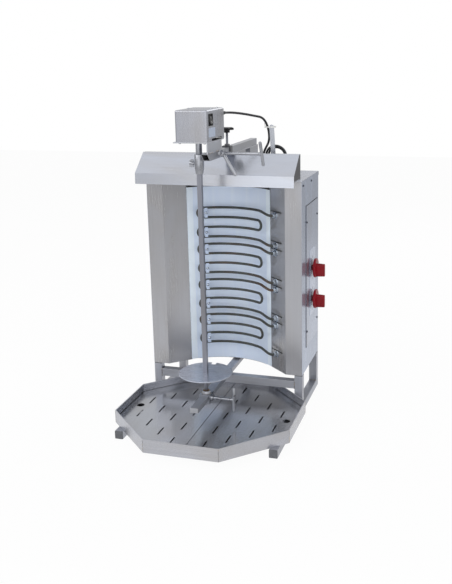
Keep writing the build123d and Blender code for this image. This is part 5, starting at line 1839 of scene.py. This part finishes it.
@dataclass
class MotorLead:
    """The lead from the motor head to the roof, with its coil, glands and tie."""

    diameter: float = 7 * MM
    length: float = 735 * MM
    coil_x: float = 148 * MM
    coil_y: float = 66 * MM
    coil_z: float = 803 * MM
    coil_outer: float = 38 * MM
    coil_inner: float = 26 * MM
    coil_turns: float = 2 + 30 / 360
    coil_start: float = radians(150)
    coil_pitch: float = 9.5 * MM
    points_per_turn: int = 16
    coil_end_run: float = 7 * MM
    sides: int = 14
    bore_gap: float = 0.05 * MM
    boot_ribs: int = 6
    bend_end: Place = (118 * MM, 36 * MM, 924 * MM)
    # Points that the lead passes before and after its coil, in millimetres.
    outer_route: tuple[Place, ...] = (
        (39, -109.5, 946), (39, -84, 946), (56, -54, 944), (82, -24, 938), (101, 5, 931), (120, 38, 924),
        (131, 55, 893),
    )
    roof_route: tuple[Place, ...] = ((122, 91, 766), (122, 91, 752))

    def coil_polar(self, turn: float) -> tuple[float, float]:
        """Find the lead's angle round the coil's axis and its distance from it after some turns."""
        share = (self.coil_inner - self.coil_outer) * turn / self.coil_turns
        return self.coil_start + tau * turn, self.coil_outer + share

    def coil_point(self, turn: float) -> Vector:
        """Find the lead's middle after some turns of the coil.

        Args:
            turn: Number of turns.

        Returns:
            The point.
        """
        angle, radius = self.coil_polar(turn)
        return Vector((
            self.coil_x + radius * cos(angle), self.coil_y + self.coil_pitch * turn,
            self.coil_z + radius * sin(angle),
        ))

    def coil_way(self, turn: float) -> Vector:
        """Find the lead's direction after some turns of the coil.

        Args:
            turn: Number of turns.

        Returns:
            The direction, of length 1.
        """
        angle, radius = self.coil_polar(turn)
        shrink = (self.coil_inner - self.coil_outer) / self.coil_turns / tau
        return Vector((
            shrink * cos(angle) - radius * sin(angle), self.coil_pitch / tau,
            shrink * sin(angle) + radius * cos(angle),
        )).normalized()

    def route(self) -> list[Vector]:
        """List the points that shape the lead, from the cover's gland to the roof's.

        Returns:
            The points.
        """
        first_way, last_way = self.coil_way(0), self.coil_way(self.coil_turns)
        first = self.coil_point(0) - first_way * self.coil_end_run
        last = self.coil_point(self.coil_turns) + last_way * self.coil_end_run
        points = [Vector(point) * MM for point in self.outer_route]
        points += [first - first_way * 28 * MM, first]
        count = int(self.coil_turns * self.points_per_turn)
        points += [self.coil_point(self.coil_turns * i / count) for i in range(count + 1)]
        points += [last, last + last_way * 13 * MM]
        points += [Vector(point) * MM for point in self.roof_route]
        return points

    def centreline(self) -> list[Vector]:
        """Draw one smooth line through the lead's route.

        Returns:
            Close points of the line.
        """
        curve = bpy.data.curves.new("lead_route", "CURVE")
        curve.dimensions = "3D"
        spline = curve.splines.new("NURBS")
        points = self.route()
        spline.points.add(len(points) - 1)
        for knot, point in zip(spline.points, points):
            knot.co = (*point, 1.0)
        spline.order_u = 3
        spline.use_endpoint_u = True
        spline.resolution_u = 6
        mesh = final_mesh(put_in_scene("lead_route", curve))
        line = [vertex.co.copy() for vertex in mesh.vertices]
        bpy.data.curves.remove(curve)
        bpy.data.meshes.remove(mesh)
        return line

    def add_boot(self) -> bpy.types.Object:
        """Make the tapered strain relief on the cover's gland.

        Returns:
            The piece.
        """
        low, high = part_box("lead_gland")
        foot = Vector(((low.x + high.x) / 2, high.y - 0.5 * MM, (low.z + high.z) / 2))
        profile = [(6.2, 0.0), (6.2, 3.0)]
        for i in range(self.boot_ribs):
            level, radius = 4.0 + 3.0 * i, 5.9 - 1.4 * i / self.boot_ribs
            profile += [(radius - 0.8, level), (radius, level + 0.6), (radius - 0.1, level + 2.0)]
        profile += [(4.2, 22.4), (3.9, 24.0)]
        return self.add_holder("lead_boot", "head", foot, REARWARD, profile)

    def add_holder(
        self, name: str, body: str, foot: Vector, way: Vector, profile: Sequence[tuple[float, float]],
    ) -> bpy.types.Object:
        """Make a rubber sleeve round the lead.

        Args:
            name: Name of the piece.
            body: Body that it rides on.
            foot: Middle of its foot.
            way: Direction in which the lead leaves.
            profile: Pairs of radius and height along its outside, in millimetres.

        Returns:
            The piece.
        """
        maker = bmesh.new()
        outside = [(radius * MM, height * MM) for radius, height in profile]
        add_sleeve(maker, foot, way, outside, self.diameter / 2 + self.bore_gap)
        return finished_piece(name, maker, BLACK_RUBBER, body)

    def add_roof_cap(self) -> bpy.types.Object:
        """Make the ribbed dome nut on the roof's gland.

        Returns:
            The piece.
        """
        low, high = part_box("roof_gland")
        foot = Vector(((low.x + high.x) / 2, (low.y + high.y) / 2, high.z - 0.5 * MM))
        profile = [(6.5, 0.0), (6.5, 2.0), (6.0, 4.0), (4.8, 6.5), (4.1, 9.0)]
        return self.add_holder("roof_gland_cap", "cabinet", foot, UPWARD, profile)

    def build(self) -> None:
        """Sweep the lead and finish its holders."""
        dress_node("roof_gland", BLACK_PLASTIC, 0.5 * MM)
        dress_node("cable_post", BRACKET_STEEL)
        dress_node("cable_tie", WHITE_NYLON, 0.2 * MM)
        line = self.centreline()
        maker = bmesh.new()
        add_tube(maker, line, [self.diameter / 2] * len(line), self.sides)
        lead = finished_piece("motor_cable", maker, CABLE_SKIN, None)
        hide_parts("motor_lead", "lead_coil", "lead_tail")
        boot, cap = self.add_boot(), self.add_roof_cap()
        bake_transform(lead)
        LOG.info("lead: %.3f m along its line", sum((b - a).length for a, b in zip(line, line[1:])))


@dataclass(frozen=True)
class SoftBox:
    """A soft area light that looks at a point."""

    name: str
    place: Place
    target: Place
    side: float
    watts: float

    def build(self) -> None:
        """Hang the light."""
        lamp = bpy.data.lights.new(self.name, "AREA")
        lamp.shape = "SQUARE"
        lamp.size = self.side
        lamp.energy = self.watts
        holder = put_in_scene(self.name, lamp)
        holder.location = self.place
        way = Vector(self.target) - Vector(self.place)
        holder.rotation_euler = way.to_track_quat("-Z", "Y").to_euler()


LAMPS = (
    SoftBox("key_light", place=(-2.0, -2.1, 2.4), target=(0, 0, 0.4), side=2.6, watts=38),
    SoftBox("front_light", place=(0.3, -3.3, 1.2), target=(0, 0, 0.4), side=3.2, watts=27),
    SoftBox("fill_light", place=(2.4, -1.4, 1.7), target=(0, 0, 0.4), side=2.0, watts=8),
    SoftBox("rear_light", place=(0.6, 2.6, 2.2), target=(0, 0.1, 0.5), side=2.0, watts=18),
)


@dataclass
class Studio:
    """Floor, air, lights and the camera at the photograph's angle."""

    camera_place: Place = (0.77745, -2.31831, 1.08839)
    camera_yaw: float = 0.29018
    camera_pitch: float = -0.23064
    camera_roll: float = -0.01660
    focal_pixels: float = 802.4
    centre_u: float = 250.82
    centre_v: float = 250.0
    sensor: float = 36.0
    floor_side: float = 14.0
    floor_drop: float = 0.5 * MM
    floor_level: float = 0.86
    floor_glow: float = 0.95
    near_mirrored: float = 0.95
    far_mirrored: float = 0.56
    near_floor: float = 0.9
    far_floor: float = 3.0
    air_level: float = 0.62
    air_low: float = 0.62
    air_high: float = 0.95
    air_from: float = -0.1
    air_to: float = 0.75
    air_colour: tuple[float, float, float, float] = (0.985, 0.99, 1.0, 1.0)

    def add_camera(self) -> None:
        """Place the camera where the photograph was taken from."""
        yaw, pitch, roll = self.camera_yaw, self.camera_pitch, self.camera_roll
        right = Vector((cos(yaw), sin(yaw), 0))
        level = Vector((-sin(yaw), cos(yaw), 0))
        forward = level * cos(pitch) + Vector((0, 0, sin(pitch)))
        upward = level * -sin(pitch) + Vector((0, 0, cos(pitch)))
        turned = right * cos(roll) + upward * sin(roll)
        raised = upward * cos(roll) - right * sin(roll)
        lens = bpy.data.cameras.new("photo_camera")
        lens.sensor_width = self.sensor
        lens.lens = self.sensor * self.focal_pixels / PHOTO_HEIGHT
        lens.shift_x = (PHOTO_WIDTH / 2 - self.centre_u) / PHOTO_HEIGHT
        lens.shift_y = (self.centre_v - PHOTO_HEIGHT / 2) / PHOTO_HEIGHT
        camera = put_in_scene("photo_camera", lens)
        turn = Matrix((turned, raised, -forward)).transposed().to_4x4()
        camera.matrix_world = Matrix.Translation(Vector(self.camera_place)) @ turn
        bpy.context.scene.camera = camera

    def add_floor(self) -> None:
        """Lay a pale floor that keeps the object's shadow."""
        mesh = bpy.data.meshes.new("studio_floor")
        half = self.floor_side / 2
        corners = [(-half, -half, 0), (half, -half, 0), (half, half, 0), (-half, half, 0)]
        mesh.from_pydata(corners, [], [(0, 1, 2, 3)])
        floor = put_in_scene("studio_floor", mesh)
        floor.location.z = -self.floor_drop
        graph = ShaderGraph("studio_floor")
        graph.set(Base_Color=(self.floor_level,) * 3 + (1.0,), Roughness=0.9, Specular_IOR_Level=0.0)
        rays = graph.add("ShaderNodeLightPath").outputs
        seen = graph.combined("MAXIMUM", rays["Is Camera Ray"], rays["Is Glossy Ray"])
        through = graph.combined("MAXIMUM", seen, rays["Is Transmission Ray"])
        share = graph.combined("MULTIPLY", through, self.floor_glow)
        away = graph.add("ShaderNodeVectorMath", operation="LENGTH")
        graph.join(graph.place, away.inputs[0])
        mirrored = graph.spread(
            away.outputs["Value"], self.near_mirrored, self.far_mirrored, self.near_floor, self.far_floor,
        )
        glow = graph.add("ShaderNodeEmission")
        graph.join(graph.combined("MAXIMUM", mirrored, rays["Is Camera Ray"]), glow.inputs["Strength"])
        graph.join(graph.layered(share, graph.shader.outputs[0], glow.outputs[0]), graph.surface)
        mesh.materials.append(graph.material)

    def add_air(self) -> None:
        """Fill the room with soft light that shades from the floor up."""
        world = bpy.data.worlds.new("studio_air")
        bpy.context.scene.world = world
        graph = NodeGraph(world)
        place = graph.add("ShaderNodeTexCoord")
        split = graph.add("ShaderNodeSeparateXYZ")
        graph.join(place.outputs["Generated"], split.inputs[0])
        rise = graph.spread(split.outputs["Z"], self.air_low, self.air_high, self.air_from, self.air_to)
        light, mirrored, white = (graph.add("ShaderNodeBackground") for _ in range(3))
        for air in (light, mirrored):
            air.inputs["Color"].default_value = self.air_colour
        light.inputs["Strength"].default_value = self.air_level
        graph.join(rise, mirrored.inputs["Strength"])
        white.inputs["Color"].default_value = (1.0, 1.0, 1.0, 1.0)
        rays = graph.add("ShaderNodeLightPath").outputs
        gloss = graph.combined("MAXIMUM", rays["Is Glossy Ray"], rays["Is Transmission Ray"])
        indirect = graph.layered(gloss, light.outputs[0], mirrored.outputs[0])
        whole = graph.layered(rays["Is Camera Ray"], indirect, white.outputs[0])
        graph.join(whole, graph.add("ShaderNodeOutputWorld").inputs["Surface"])

    def build(self) -> None:
        """Set up the whole studio."""
        self.add_camera()
        self.add_floor()
        self.add_air()
        for lamp in LAMPS:
            lamp.build()
        bpy.context.scene.view_settings.view_transform = "Standard"


def main() -> None:
    """Dress the grill, piece by piece, and set up the studio."""
    logging.basicConfig(level=logging.INFO, format="%(name)s: %(message)s")
    Studio().build()
    MotorLead().build()
    screws = ScrewSet(CrossHead())
    Cabinet(screws).build()
    HeatingWall().build()
    Controls().build()
    DripTray().build()
    Spit().build()
    Handles().build()
    ArmClamp().build()
    MotorHead(screws).build()


if __name__ == "__main__":
    main()
